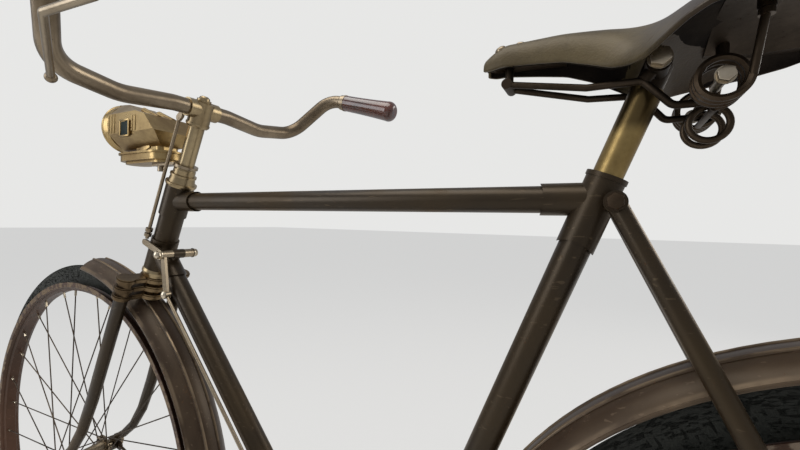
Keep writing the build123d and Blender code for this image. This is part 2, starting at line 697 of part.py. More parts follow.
# Grips: turned handles that swell towards a rounded end
grip_radius = 14.0
grip_swell = 17.0
grip_end_radius = 9.0
for name, side in (("grip_left", 1), ("grip_right", -1)):
    start = Vector(grip_start.X, side * grip_start.Y, grip_start.Z)
    end = Vector(grip_end.X, side * grip_end.Y, grip_end.Z)
    with BuildPart() as grip:
        grip_plane = Plane(origin=start, z_dir=end - start)
        with BuildSketch(Plane(origin=start, x_dir=grip_plane.x_dir, z_dir=grip_plane.y_dir)) as profile:
            with BuildLine():
                swell = (grip_swell, 15 - grip_length)
                rounded_end = (grip_end_radius, -grip_length)
                Line((0, 0), (grip_radius, 0))
                ThreePointArc((grip_radius, 0), (grip_radius + 1.2, -grip_length / 2), swell)
                ThreePointArc(swell, (grip_swell - 1.6, 5 - grip_length), rounded_end)
                Polyline(rounded_end, (0, -grip_length), (0, 0))
            make_face()
        revolve(profile.sketch, axis=Axis(start, end - start))
    grip.part.label = name
    export_step(grip.part, "parts/" + name + ".step")

# Left brake lever: it turns in a cap on the bar's end and runs forward under the grip to a ball
lever_radius = 3.5
lever_ball_radius = 5.5
lever_bend = 7.0
lever_cap_radius = grip_end_radius - 0.5
lever_points = [
    grip_end + grip_dir * 5,
    grip_end + grip_dir * 14 + Vector(0, 4, -12),
    grip_end + grip_dir * 8 + Vector(0, 12, -32),
    grip_end + Vector(60, 18, -34),
    grip_end + Vector(158, -26, -56),
]
with BuildPart() as brake_lever:
    stack(grip_end + grip_dir * seat_gap, grip_dir, ((5, lever_cap_radius, lever_cap_radius), (4, 7, 5)))
    bent_rod(lever_points, lever_bend, lever_radius)
    with Locations(lever_points[-1]):
        Sphere(lever_ball_radius)
brake_lever.part.label = "brake_lever"
export_step(brake_lever.part, "parts/brake_lever.step")

# Wheels: a round tyre in the rim's bed, the rim's rolled shoulders beside a well for the spokes
hub_table = {
    "front": dict(centre=front_axle_centre, count=front_spoke_count, flange_y=33.0, flange_radius=22.0,
                  barrel=10.0, half=front_end_half_width - end_plate_thickness / 2 - 0.5),
    "rear": dict(centre=rear_axle_centre, count=rear_spoke_count, flange_y=32.0, flange_radius=27.0,
                 barrel=17.0, half=rear_end_half_width - 0.5),
}
tyre_crown_radius = tyre_width / 2
tyre_centre_radius = wheel_radius - tyre_crown_radius
lip_radius = bead_seat_diameter / 2 + rim_lip_height
rim_inner_radius = lip_radius - rim_depth
floor_radius = bead_seat_diameter / 2 - 1.5
rim_half = rim_width / 2
lip_inner_y = sqrt(tyre_crown_radius**2 - (tyre_centre_radius - lip_radius) ** 2)
shoulder_y = rim_well_half_width + 1.5
freewheel_radius = 17.0
hub_end_radius = 8.0
for wheel, hub in hub_table.items():
    centre = hub["centre"]
    spin_axis = Axis(centre, (0, 1, 0))
    cut_plane = Plane(origin=centre, x_dir=(0, 0, 1), z_dir=(1, 0, 0))
    bed = floor_radius + seat_gap
    with BuildPart() as tyre:
        with BuildSketch(cut_plane) as profile:
            with BuildLine():
                Line((bed, tyre_bed_half_width - 0.5), (lip_radius, lip_inner_y))
                ThreePointArc((lip_radius, lip_inner_y), (wheel_radius, 0), (lip_radius, -lip_inner_y))
                Line((lip_radius, -lip_inner_y), (bed, 0.5 - tyre_bed_half_width))
                Line((bed, 0.5 - tyre_bed_half_width), (bed, tyre_bed_half_width - 0.5))
            make_face()
        revolve(profile.sketch, axis=spin_axis)
    tyre.part.label = wheel + "_tyre"
    export_step(tyre.part, "parts/" + wheel + "_tyre.step")

    with BuildPart() as rim:
        with BuildSketch(cut_plane) as profile:
            with BuildLine():
                Polyline((rim_inner_radius, 0), (rim_inner_radius, rim_well_half_width - 1),
                         (rim_inner_radius + rim_shoulder_rise, shoulder_y))
                ThreePointArc((rim_inner_radius + rim_shoulder_rise, shoulder_y),
                              (rim_inner_radius + rim_shoulder_rise + 1.6, rim_half - 1.9),
                              (lip_radius - rim_lip_height, rim_half))
                Polyline((lip_radius - rim_lip_height, rim_half), (lip_radius, rim_half),
                         (lip_radius, lip_inner_y + seat_gap), (floor_radius, tyre_bed_half_width),
                         (floor_radius, 0))
                mirror(about=Plane.XZ)
            make_face()
        revolve(profile.sketch, axis=spin_axis)
    rim.part.label = wheel + "_rim"
    export_step(rim.part, "parts/" + wheel + "_rim.step")

    with BuildPart() as hub_shell:
        flange_inner = hub["flange_y"] - 2
        waist_radius = hub["barrel"] + 3
        with BuildSketch(cut_plane) as profile:
            with BuildLine():
                Polyline((0, hub["half"]), (hub_end_radius, hub["half"]),
                         (hub_end_radius + 1, hub["flange_y"] + 6), (waist_radius, hub["flange_y"] + 1),
                         (hub["flange_radius"], hub["flange_y"] + 1), (hub["flange_radius"], flange_inner),
                         (waist_radius, flange_inner))
                ThreePointArc((waist_radius, flange_inner), (hub["barrel"], 0), (waist_radius, -flange_inner))
                Polyline((waist_radius, -flange_inner), (hub["flange_radius"], -flange_inner),
                         (hub["flange_radius"], -hub["flange_y"] - 1), (waist_radius, -hub["flange_y"] - 1),
                         (hub_end_radius + 1, -hub["flange_y"] - 6), (hub_end_radius, -hub["half"]),
                         (0, -hub["half"]), (0, hub["half"]))
            make_face()
        revolve(profile.sketch, axis=spin_axis)
        if wheel == "rear":
            cross_rod(centre, -hub["flange_y"], -chain_line - 2.5, freewheel_radius)
        cross_bore(centre, axle_radius)
    hub_shell.part.label = wheel + "_hub"
    export_step(hub_shell.part, "parts/" + wheel + "_hub.step")

    with BuildPart() as spokes:
        half_count = hub["count"] // 2
        bars = []
        for side in (1, -1):
            for index in range(half_count):
                rim_turn = (index + 0.25 * side) * 360 / half_count
                lean = spoke_lean if index % 2 else -spoke_lean
                at_rim = centre + Vector(rim_inner_radius + 1, 0, 0).rotate(Axis.Y, rim_turn)
                at_hub = centre + Vector(hub["flange_radius"] - 3.5, 0, 0).rotate(Axis.Y, rim_turn + lean)
                start = across(at_hub, side * (hub["flange_y"] + 1.2))
                end = across(at_rim, side * 3)
                with BuildSketch(Plane(origin=start, z_dir=end - start)) as section:
                    RegularPolygon(spoke_radius, 6)
                bars.append(extrude(section.sketch, amount=(end - start).length, mode=Mode.PRIVATE))
        add(bars)
    spokes.part.label = wheel + "_spokes"
    export_step(spokes.part, "parts/" + wheel + "_spokes.step")


def toothed_wheel(centre, teeth, pitch_radius, bore_radius):
    """Adds a wheel for the inch-pitch chain: blunt teeth between round seats for the blocks."""
    root = pitch_radius - block_height / 2 - 4.0
    tip = pitch_radius - block_height / 2 - tooth_clearance
    corners = []
    for index in range(teeth):
        for turn, radius in ((-0.34, root), (-0.14, tip), (0.14, tip), (0.34, root)):
            angle = radians((index + turn) * 360 / teeth)
            corners.append((radius * cos(angle), radius * sin(angle)))
    face = across(centre, -chain_line - tooth_thickness / 2)
    with BuildSketch(Plane(origin=face, x_dir=(1, 0, 0), z_dir=(0, 1, 0))) as outline:
        with BuildLine():
            Polyline(*corners, close=True)
        make_face()
        Circle(bore_radius, mode=Mode.SUBTRACT)
    extrude(outline.sketch, amount=tooth_thickness)


with BuildPart() as rear_sprocket:
    toothed_wheel(rear_axle_centre, sprocket_teeth, sprocket_radius, freewheel_radius + running_clearance)
rear_sprocket.part.label = "rear_sprocket"
export_step(rear_sprocket.part, "parts/rear_sprocket.step")

# Chainwheel, cranks and pedals
crank_dir = Vector(cos(radians(crank_turn)), 0, -sin(radians(crank_turn)))
crank_inner_y = chain_line + 14.0
crank_thickness = 14.0
crank_boss_radius = 16.0
crank_eye_radius = 13.0
wheel_arm_count = 5
wheel_arm_width = 12.0
wheel_arm_thickness = 4.0
wheel_ring_depth = 18.0
wheel_hub_radius = 22.0
with BuildPart() as chainwheel:
    toothed_wheel(bracket, chainwheel_teeth, chainwheel_radius, chainwheel_radius - wheel_ring_depth)
    for index in range(wheel_arm_count):
        arm_dir = crank_dir.rotate(Axis.Y, index * 360 / wheel_arm_count)
        arm_start = across(bracket + arm_dir * (wheel_hub_radius - 4), -chain_line)
        arm_end = across(bracket + arm_dir * (chainwheel_radius - wheel_ring_depth - 1), -chain_line)
        flat_bar(arm_start, arm_end, wheel_arm_width, wheel_arm_thickness)
    cross_rod(bracket, -chain_line - wheel_arm_thickness, -chain_line + wheel_arm_thickness, wheel_hub_radius)
    cross_rod(bracket, -far_out, far_out, crank_axle_radius, mode=Mode.SUBTRACT)
chainwheel.part.label = "chainwheel"
export_step(chainwheel.part, "parts/chainwheel.step")

pedal_inner_y = crank_inner_y + crank_thickness + 5.5
pedal_width = 84.0
pedal_length = 82.0
pedal_plate_height = 22.0
pedal_plate_thickness = 3.0
pedal_axle_end = pedal_inner_y + pedal_width + 9.0
rubber_offset = 25.0
rubber_length = 26.0
rubber_height = 28.0
rubber_corner = 5.0
with BuildPart() as cranks:
    axle_half = crank_inner_y + crank_thickness
    cross_rod(bracket, -axle_half, axle_half, crank_axle_radius)
    for side in (1, -1):
        arm_end = bracket - crank_dir * (side * crank_length)
        cross_rod(bracket, side * crank_inner_y, side * axle_half, crank_boss_radius)
        cross_rod(arm_end, side * (crank_inner_y + 1), side * axle_half, crank_eye_radius)
        middle = side * (crank_inner_y + crank_thickness / 2 + 0.5)
        arm_start = bracket - crank_dir * (side * 12)
        rod(across(arm_start, middle), across(arm_end + crank_dir * (side * 8), middle), 8.0, 6.5)
        cotter_up = crank_dir.cross(Vector(0, 1, 0))
        cotter = across(bracket + crank_dir * (side * 9.5), middle)
        rod(cotter - cotter_up * (crank_boss_radius + 4), cotter + cotter_up * (crank_boss_radius + 3), 4.0)
        cross_rod(arm_end, side * (crank_inner_y + 2), side * pedal_axle_end, pedal_axle_radius)
cranks.part.label = "cranks"
export_step(cranks.part, "parts/cranks.step")

for name, side in (("left", 1), ("right", -1)):
    pedal_centre = bracket - crank_dir * (side * crank_length)
    with BuildPart() as pedal_cage:
        for place in (pedal_inner_y, pedal_inner_y + pedal_width - pedal_plate_thickness):
            plate_place = across(pedal_centre, side * place)
            with BuildSketch(Plane(origin=plate_place, x_dir=(1, 0, 0), z_dir=(0, side, 0))) as plate:
                SlotOverall(pedal_length, pedal_plate_height)
            extrude(plate.sketch, amount=pedal_plate_thickness)
        cross_rod(pedal_centre, side * pedal_inner_y, side * (pedal_axle_end + 5), 10.0)
        bore_end = side * (pedal_axle_end + 0.5)
        bore_radius = pedal_axle_radius + running_clearance
        cross_rod(pedal_centre, side * (pedal_inner_y - 5), bore_end, bore_radius, mode=Mode.SUBTRACT)
    pedal_cage.part.label = "pedal_cage_" + name
    export_step(pedal_cage.part, "parts/pedal_cage_" + name + ".step")
    with BuildPart() as pedal_rubbers:
        for offset in (-rubber_offset, rubber_offset):
            block_y = pedal_inner_y + pedal_plate_thickness
            block_centre = across(pedal_centre + Vector(offset, 0, 0), side * block_y)
            with BuildSketch(Plane(origin=block_centre, x_dir=(1, 0, 0), z_dir=(0, side, 0))) as block:
                RectangleRounded(rubber_length, rubber_height, rubber_corner)
            extrude(block.sketch, amount=pedal_width - 2 * pedal_plate_thickness)
    pedal_rubbers.part.label = "pedal_rubbers_" + name
    export_step(pedal_rubbers.part, "parts/pedal_rubbers_" + name + ".step")

# Chain: solid blocks joined by pairs of side plates, laid round both pitch circles
lean = atan2(radius_step, sqrt(chain_stay_length**2 - radius_step**2))
centre_line = (bracket - rear_axle_centre).normalized()
straight_run = chain_stay_length * cos(lean)
big_arc = chainwheel_radius * (pi + 2 * lean)
small_arc = sprocket_radius * (pi - 2 * lean)
chain_loop = 2 * straight_run + big_arc + small_arc


def chain_place(distance):
    """Offset from the rear axle along and above the line of centres, and the chain's heading there."""
    quarter = pi / 2 + lean
    distance = distance % chain_loop
    if distance < straight_run:
        along = sprocket_radius * cos(quarter) + distance * cos(lean)
        return along, sprocket_radius * sin(quarter) + distance * sin(lean), lean
    distance -= straight_run
    if distance < big_arc:
        turn = quarter - distance / chainwheel_radius
        along = chain_stay_length + chainwheel_radius * cos(turn)
        return along, chainwheel_radius * sin(turn), turn - pi / 2
    distance -= big_arc
    if distance < straight_run:
        along = chain_stay_length + chainwheel_radius * cos(quarter) - distance * cos(lean)
        return along, -chainwheel_radius * sin(quarter) + distance * sin(lean), -lean
    turn = -quarter - (distance - straight_run) / sprocket_radius
    return sprocket_radius * cos(turn), sprocket_radius * sin(turn), turn - pi / 2


def chain_pieces(start_y, thickness, phase, length, height):
    """Adds a six-sided link at each pitch, from this distance to the side and this share of a pitch on."""
    start = across(rear_axle_centre, start_y)
    half = length / 2
    with BuildSketch(Plane(origin=start, x_dir=centre_line, z_dir=(0, -1, 0))) as row:
        for index in range(chain_links):
            along, above, heading = chain_place((index + phase) * chain_loop / chain_links)
            with Locations(Location((along, above), degrees(heading))):
                Polygon((-half, 0), (link_nose - half, -height / 2), (half - link_nose, -height / 2),
                        (half, 0), (half - link_nose, height / 2), (link_nose - half, height / 2))
    extrude(row.sketch, amount=thickness)


with BuildPart() as chain:
    block_start = -chain_line + block_width / 2
    plate_length = chain_pitch - block_centres + block_height - 1.6
    chain_pieces(block_start, block_width, 0, block_centres + block_height, block_height)
    for plate_start in (block_start + side_plate_thickness, block_start - block_width):
        chain_pieces(plate_start, side_plate_thickness, 0.5, plate_length, block_height - 1)
chain.part.label = "chain"
export_step(chain.part, "parts/chain.step")


# Mudguards: a channel with two beads and rolled edges, carried by thin stays from the axle.
# Angles count up and back from straight ahead of the axle.
front_guard_start = 97.0
rear_guard_start = -2.0
guard_end = 212.0
front_stay_angles = (190.0,)
rear_stay_angles = (145.0, 196.0)


def guard(centre, outer_radius, start_angle, end_angle):
    """Adds the channel from one angle to another, counted up and back from straight ahead."""
    heading = Vector(cos(radians(start_angle)), 0, sin(radians(start_angle)))
    edge = outer_radius - guard_crown_rise
    inner_half = guard_half_width - guard_wall
    with BuildSketch(Plane(origin=centre, x_dir=heading, z_dir=heading.cross(Vector(0, 1, 0)))) as profile:
        with BuildLine():
            ThreePointArc((edge, -guard_half_width), (outer_radius, 0), (edge, guard_half_width))
            Line((edge, guard_half_width), (edge, inner_half))
            ThreePointArc((edge, inner_half), (outer_radius - guard_wall, 0), (edge, -inner_half))
            Line((edge, -inner_half), (edge, -guard_half_width))
        make_face()
        bead_height = outer_radius - guard_bead_drop
        with Locations((bead_height, guard_bead_y), (bead_height, -guard_bead_y)):
            RegularPolygon(guard_bead_radius, 8)
        with Locations((edge, inner_half), (edge, -inner_half)):
            RegularPolygon(guard_edge_radius, 8)
    revolve(profile.sketch, axis=Axis(centre, (0, -1, 0)), revolution_arc=end_angle - start_angle)


def guard_stays(centre, outer_radius, angles, eye_y, foot_radius):
    """Adds thin stays from flat eyes on the axle to the channel's edges, a pair at each angle."""
    for angle in angles:
        out = Vector(cos(radians(angle)), 0, sin(radians(angle)))
        for side in (1, -1):
            middle_y = side * (eye_y + stay_eye_thickness / 2)
            foot = across(centre + out * foot_radius, middle_y)
            flat_bar(across(centre, middle_y), foot, stay_eye_width, stay_eye_thickness)
            edge = across(centre + out * (outer_radius - guard_crown_rise + 2), side * guard_half_width)
            rod(foot, edge, guard_stay_radius)
    cross_rod(centre, -far_out, far_out, slot_radius, mode=Mode.SUBTRACT)


with BuildPart() as front_mudguard:
    guard(front_axle_centre, front_guard_radius, front_guard_start, guard_end)
    front_eye_y = front_end_half_width + end_plate_thickness / 2 + seat_gap
    guard_stays(front_axle_centre, front_guard_radius, front_stay_angles, front_eye_y, fork_end_radius + 4)
front_mudguard.part.label = "front_mudguard"
export_step(front_mudguard.part, "parts/front_mudguard.step")

with BuildPart() as rear_mudguard:
    guard(rear_axle_centre, rear_guard_radius, rear_guard_start, guard_end)
    rear_eye_y = rear_end_half_width + end_plate_thickness + seat_gap
    guard_stays(rear_axle_centre, rear_guard_radius, rear_stay_angles, rear_eye_y, rear_end_radius + 14)
rear_mudguard.part.label = "rear_mudguard"
export_step(rear_mudguard.part, "parts/rear_mudguard.step")

# Lamp: a faceted oil lamp with a sloping roof, side windows and a boat-shaped tank, behind a round front
lamp_centre = Vector(head_node.X + 117, 0, -35)
lamp_half_width = 38.0
lamp_bezel_radius = 40.0
lamp_bezel_depth = 24.0
lamp_glass_radius = 33.0
lamp_glass_thickness = 4.0
lamp_tank_length = 122.0
lamp_tank_width = 50.0
lamp_tank_depth = 17.0
window_length = 20.0
window_height = 22.0
window_depth = 3.0
# Side outline of the lamp: ahead of the bezel's back, above the lamp's axis
lamp_outline = ((0, 37), (-24, 34), (-50, 22), (-94, 9), (-118, -17), (-104, -36), (-70, -38), (0, -38))
tank_bottom = lamp_centre.Z - 61
with BuildPart() as lamp_body:
    side_plane = Plane(origin=across(lamp_centre, lamp_half_width), x_dir=(1, 0, 0), z_dir=(0, -1, 0))
    with BuildSketch(side_plane) as outline:
        with BuildLine():
            Polyline(*lamp_outline, close=True)
        make_face()
    extrude(outline.sketch, amount=2 * lamp_half_width)
    behind_lamp = lamp_centre - Vector(lamp_tank_length, 0, 0)
    with BuildSketch(Plane(origin=behind_lamp, x_dir=(0, 1, 0), z_dir=(1, 0, 0))) as facets:
        RegularPolygon(lamp_half_width, 8, major_radius=False, rotation=22.5)
    extrude(facets.sketch, amount=lamp_tank_length, mode=Mode.INTERSECT)
    for side in (1, -1):
        window_place = lamp_centre + Vector(-55, side * lamp_half_width, -9)
        with BuildSketch(Plane(origin=window_place, x_dir=(1, 0, 0), z_dir=(0, -side, 0))) as window:
            Rectangle(window_length, window_height)
        extrude(window.sketch, amount=window_depth, mode=Mode.SUBTRACT)
        vent = lamp_centre + Vector(-88, side * 12, 8)
        rod(vent, vent + Vector(38, 0, 16), 4.5)
    neck_plane = Plane(origin=(lamp_centre.X - 66, 0, tank_bottom + lamp_tank_depth - 1))
    with BuildSketch(neck_plane) as neck:
        RectangleRounded(66, 34, 8)
    extrude(neck.sketch, amount=24)
    tank_rows = ((0, 4, 7), (4, lamp_tank_depth - 7, 0), (lamp_tank_depth - 3, 3, -3))
    for rise, height, trim in tank_rows:
        with BuildSketch(Plane(origin=(lamp_centre.X - 52, 0, tank_bottom + rise))) as layer:
            SlotOverall(lamp_tank_length - 2 * trim, lamp_tank_width - 2 * trim)
        extrude(layer.sketch, amount=height)
lamp_body.part.label = "lamp_body"
export_step(lamp_body.part, "parts/lamp_body.step")

bezel_back = lamp_centre + Vector(seat_gap, 0, 0)
# The front ring from its back outwards: length, radius, end radius
bezel_rows = ((4, 37.0, 37.0), (10, 38.0, lamp_bezel_radius), (4, lamp_bezel_radius, lamp_bezel_radius),
              (lamp_bezel_depth - 18, lamp_bezel_radius, 36.5))
with BuildPart() as lamp_bezel:
    bezel_front = stack(bezel_back, Vector(1, 0, 0), bezel_rows)
    glass_seat = bezel_back + Vector(lamp_bezel_depth - 10, 0, 0)
    rod(glass_seat, bezel_front, lamp_glass_radius, mode=Mode.SUBTRACT)
lamp_bezel.part.label = "lamp_bezel"
export_step(lamp_bezel.part, "parts/lamp_bezel.step")
with BuildPart() as lamp_lens:
    glass_back = glass_seat + Vector(seat_gap, 0, 0)
    rod(glass_back, glass_back + Vector(lamp_glass_thickness, 0, 0), lamp_glass_radius - seat_gap)
lamp_lens.part.label = "lamp_lens"
export_step(lamp_lens.part, "parts/lamp_lens.step")

# Lamp bracket: a ring round the quill on the headset and a strap under the tank, with its screw
bracket_foot = headset_top + steer_up * seat_gap
ring_thickness = 4.0
strap_width = 16.0
strap_top = tank_bottom - seat_gap
strap_bottom = strap_top - ring_thickness
strap_lower_corner = bracket_foot + steer_front * 13
strap_upper_corner = strap_lower_corner + steer_up * ring_thickness
strap_end_x = lamp_centre.X - 66
screw_x = strap_end_x - 12
with BuildPart() as lamp_bracket:
    rod(bracket_foot, bracket_foot + steer_up * ring_thickness, stem_radius + 6)
    strap_plane = Plane(origin=(0, strap_width / 2, 0), x_dir=(1, 0, 0), z_dir=(0, -1, 0))
    with BuildSketch(strap_plane) as strap:
        with BuildLine():
            Polyline((strap_lower_corner.X, strap_lower_corner.Z),
                     (strap_upper_corner.X, strap_upper_corner.Z),
                     (strap_upper_corner.X + 24, strap_top), (strap_end_x, strap_top),
                     (strap_end_x, strap_bottom), (strap_lower_corner.X + 19, strap_bottom), close=True)
        make_face()
    extrude(strap.sketch, amount=strap_width)
    rod(Vector(screw_x, 0, strap_top - 1), Vector(screw_x, 0, strap_top - 12), 5.5)
    bore(bracket_foot - steer_up, bracket_foot + steer_up * (ring_thickness + 1), stem_radius)
lamp_bracket.part.label = "lamp_bracket"
export_step(lamp_bracket.part, "parts/lamp_bracket.step")

# Rod brake: the upright rod beside the head tube hangs from an ear under the bar's sleeve
brake_rod_radius = 2.5
brake_rod_ahead = 12.0
brake_rod_foot = 46.0
rod_top_drop = 20.0
ear_width = 10.0
link_thickness = 4.0
sleeve_reach = bar_radius + 2.4 + seat_gap + ear_width / 2
rod_line = head_bottom + steer_front * brake_rod_ahead
rod_top = rod_line + steer_up * ((bar_centre - rod_line).dot(steer_up) - rod_top_drop)
rod_foot = rod_line + steer_up * brake_rod_foot
ear_inner = bar_centre + (rod_top - bar_centre).normalized() * sleeve_reach
with BuildPart() as brake_rod:
    rod(across(rod_foot, brake_side_y), across(rod_top, brake_side_y), brake_rod_radius)
    flat_bar(across(rod_top, brake_side_y), across(ear_inner, brake_side_y), ear_width, link_thickness)
    for height in (4, 12):
        nut = across(rod_foot + steer_up * height, brake_side_y)
        rod(nut, nut + steer_up * 5, 5.0)
brake_rod.part.label = "brake_rod"
export_step(brake_rod.part, "parts/brake_rod.step")

# Brake linkage: the upper crank, the long rod beside the down tube, the lower crank and the rear stirrup
arm_width = 9.0
eye_radius = 6.0
long_rod_radius = 2.5
upper_eye = rod_foot - steer_up * 7 + steer_front * 2
clevis = upper_pivot + Vector(-8.5, 0, -59.5)
clevis_along = (clevis - down_node).dot(down_dir)
long_rod_start = down_node + down_dir * clevis_along
lower_arm_eye = bracket - down_dir * 74
under_bracket = bracket + Vector(-38, 0, -bracket_radius - 13)
under_pivot = bracket + Vector(40, 0, -bracket_radius - 13)
stirrup_angle = -5.0
stirrup_out = Vector(cos(radians(stirrup_angle)), 0, sin(radians(stirrup_angle)))
stirrup_bridge = rear_axle_centre + stirrup_out * (wheel_radius + 16)
block_reach = rim_inner_radius - 5 - 8
stirrup_half_width = guard_half_width + 6.0
inner_link_y = -8.0
shoe_width = 12.0
shoe_length = 44.0
shoe_height = 9.0
with BuildPart() as brake_linkage:
    cross_rod(upper_pivot, -26, 29, brake_pin_radius)
    cross_rod(upper_pivot, upper_boss_half_width + seat_gap, 27, 6.5)
    cross_rod(upper_pivot, -24, -upper_boss_half_width - seat_gap, 6.5)
    for root, eye in ((upper_pivot, upper_eye), (upper_pivot, clevis), (lower_pivot, lower_arm_eye)):
        flat_bar(across(root, brake_side_y), across(eye, brake_side_y), arm_width, link_thickness)
    cross_rod(clevis, brake_side_y - 4, brake_side_y + 4, eye_radius)
    rod(across(clevis, brake_side_y), across(lower_arm_eye, brake_side_y), long_rod_radius)
    cross_rod(lower_arm_eye, brake_side_y - 4, brake_side_y + 4, eye_radius)
    cross_rod(lower_pivot, inner_link_y - 4, brake_side_y + 4, brake_pin_radius)
    flat_bar(across(lower_pivot, inner_link_y), across(under_pivot, inner_link_y), arm_width, link_thickness)
    lower_route = [across(p, inner_link_y) for p in (under_pivot, under_bracket, stirrup_bridge)]
    bent_rod(lower_route, 12, long_rod_radius)
    stirrup_side = stirrup_bridge - stirrup_out * (wheel_radius + 16 - block_reach)
    stirrup_route = [across(stirrup_side, stirrup_half_width), across(stirrup_bridge, stirrup_half_width),
                     across(stirrup_bridge, -stirrup_half_width), across(stirrup_side, -stirrup_half_width)]
    bent_rod(stirrup_route, 14, long_rod_radius + 0.5)
    for side in (1, -1):
        cross_rod(stirrup_side, side * (stirrup_half_width + 3), side * (rim_half + 4), 3.0)
        shoe = across(stirrup_side, side * (rim_half + 0.5))
        shoe_plane = Plane(origin=shoe - stirrup_out * 4, x_dir=(0, 1, 0), z_dir=stirrup_out)
        with BuildSketch(shoe_plane) as block:
            RectangleRounded(shoe_width, shoe_length, 3)
        extrude(block.sketch, amount=shoe_height)
brake_linkage.part.label = "brake_linkage"
export_step(brake_linkage.part, "parts/brake_linkage.step")
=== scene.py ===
# %% [markdown]
# An old gentleman's roadster, dressed in Blender. Its construction comes packed as a fixed frame of
# pieces, each a node of its own, and none of them is moved or reshaped here. This lesson gives them their
# finish, which is aged enamel, tarnished nickel and brass, creased hide and dusty rubber. Then it adds what
# such a frame leaves out: tread, round spokes, the formed hide, rivets, nuts and the trim of the lamp.

# %% Load the fixed frame
import bpy
import bmesh
import json
import math
from mathutils import Matrix, Vector, noise


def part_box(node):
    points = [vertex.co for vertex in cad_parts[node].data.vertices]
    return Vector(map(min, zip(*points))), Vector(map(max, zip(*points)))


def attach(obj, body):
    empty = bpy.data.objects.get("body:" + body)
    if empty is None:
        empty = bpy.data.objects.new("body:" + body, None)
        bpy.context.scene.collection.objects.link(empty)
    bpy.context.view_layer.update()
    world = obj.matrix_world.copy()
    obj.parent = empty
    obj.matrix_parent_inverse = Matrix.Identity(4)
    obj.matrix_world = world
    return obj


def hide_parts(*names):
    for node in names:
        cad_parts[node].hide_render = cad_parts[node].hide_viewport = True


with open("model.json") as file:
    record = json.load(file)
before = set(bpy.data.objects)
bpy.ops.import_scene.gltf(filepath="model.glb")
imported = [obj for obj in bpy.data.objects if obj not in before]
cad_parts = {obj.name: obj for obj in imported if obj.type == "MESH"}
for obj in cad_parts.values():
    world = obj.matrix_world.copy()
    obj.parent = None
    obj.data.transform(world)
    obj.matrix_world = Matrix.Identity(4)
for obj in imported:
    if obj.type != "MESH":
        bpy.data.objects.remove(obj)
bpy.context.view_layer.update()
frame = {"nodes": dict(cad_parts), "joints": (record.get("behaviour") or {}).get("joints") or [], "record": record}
nodes = frame["nodes"]
joints = {joint["name"]: joint for joint in frame["joints"]}

# %% [markdown]
# A new piece has to sit on what carries it, seen from any side. Its place could be measured in a picture,
# but the frame knows most places exactly: hubs, pedals and the steering axis are its joints, and the road
# is the lowest point of a tyre. A place with no joint of its own, such as the bolt of the saddle clamp, is
# written where it is used, as a real size in millimetres.

# %% Places that the pieces are worked out from
MM = 0.001
head_foot_level = -261.75 * MM


def joint_place(name):
    return Vector(joints[name]["pos_m"])


hubs = {"front": joint_place("front_wheel_spin"), "rear": joint_place("rear_wheel_spin")}
steer_point = joint_place("steering_turn")
steer_up = Vector(joints["steering_turn"]["axis"]).normalized()
steer_front = Vector((0, 1, 0)).cross(steer_up)
steer_foot = steer_point + steer_up * ((head_foot_level - steer_point.z) / steer_up.z)
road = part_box("front_tyre")[0][2]
print("road at", round(road, 4), "hubs at", [round(centre.x, 3) for centre in hubs.values()])
print("steering axis meets the head tube's foot at", [round(value, 4) for value in steer_foot])

# %% [markdown]
# A finish is a small sum: so much of this tone, less of that where the rust is. Wired by hand it takes
# dozens of Math nodes that nobody can read again. A Signal wraps a socket instead, so that `1 - mask * 0.4`
# adds the nodes by itself, in the order in which it reads.


# %% A socket that can be added and multiplied
class Signal:
    """What comes out of a socket, with Python's operators on it."""

    def __init__(self, finish, socket):
        self.finish = finish
        self.socket = socket

    def math(self, operation, first, second=0.0):
        return self.finish.node("ShaderNodeMath", {"operation": operation}, {0: first, 1: second})

    def __add__(self, other):
        return self.math("ADD", self, other)

    def __sub__(self, other):
        return self.math("SUBTRACT", self, other)

    def __rsub__(self, other):
        return self.math("SUBTRACT", other, self)

    def __mul__(self, other):
        return self.math("MULTIPLY", self, other)

    def __abs__(self):
        return self.math("ABSOLUTE", self)

    __radd__ = __add__
    __rmul__ = __mul__

    def between(self, low, high):
        """0 below low, 1 above high, and a soft rise from one to the other."""
        limits = {"Value": self, "From Min": low, "From Max": high}
        return self.finish.node("ShaderNodeMapRange", {"interpolation_type": "SMOOTHSTEP"}, limits)


# %% [markdown]
# A Finish owns one material. Its fixed numbers, such as the coat's gloss, sit on the shader's own sockets,
# because a baked model keeps them only there. Everything else comes from its one method `node`, and the
# short methods after it name what a painter would: grain, blend, wear and relief.


# %% A material that is built from such signals
finishes = {}


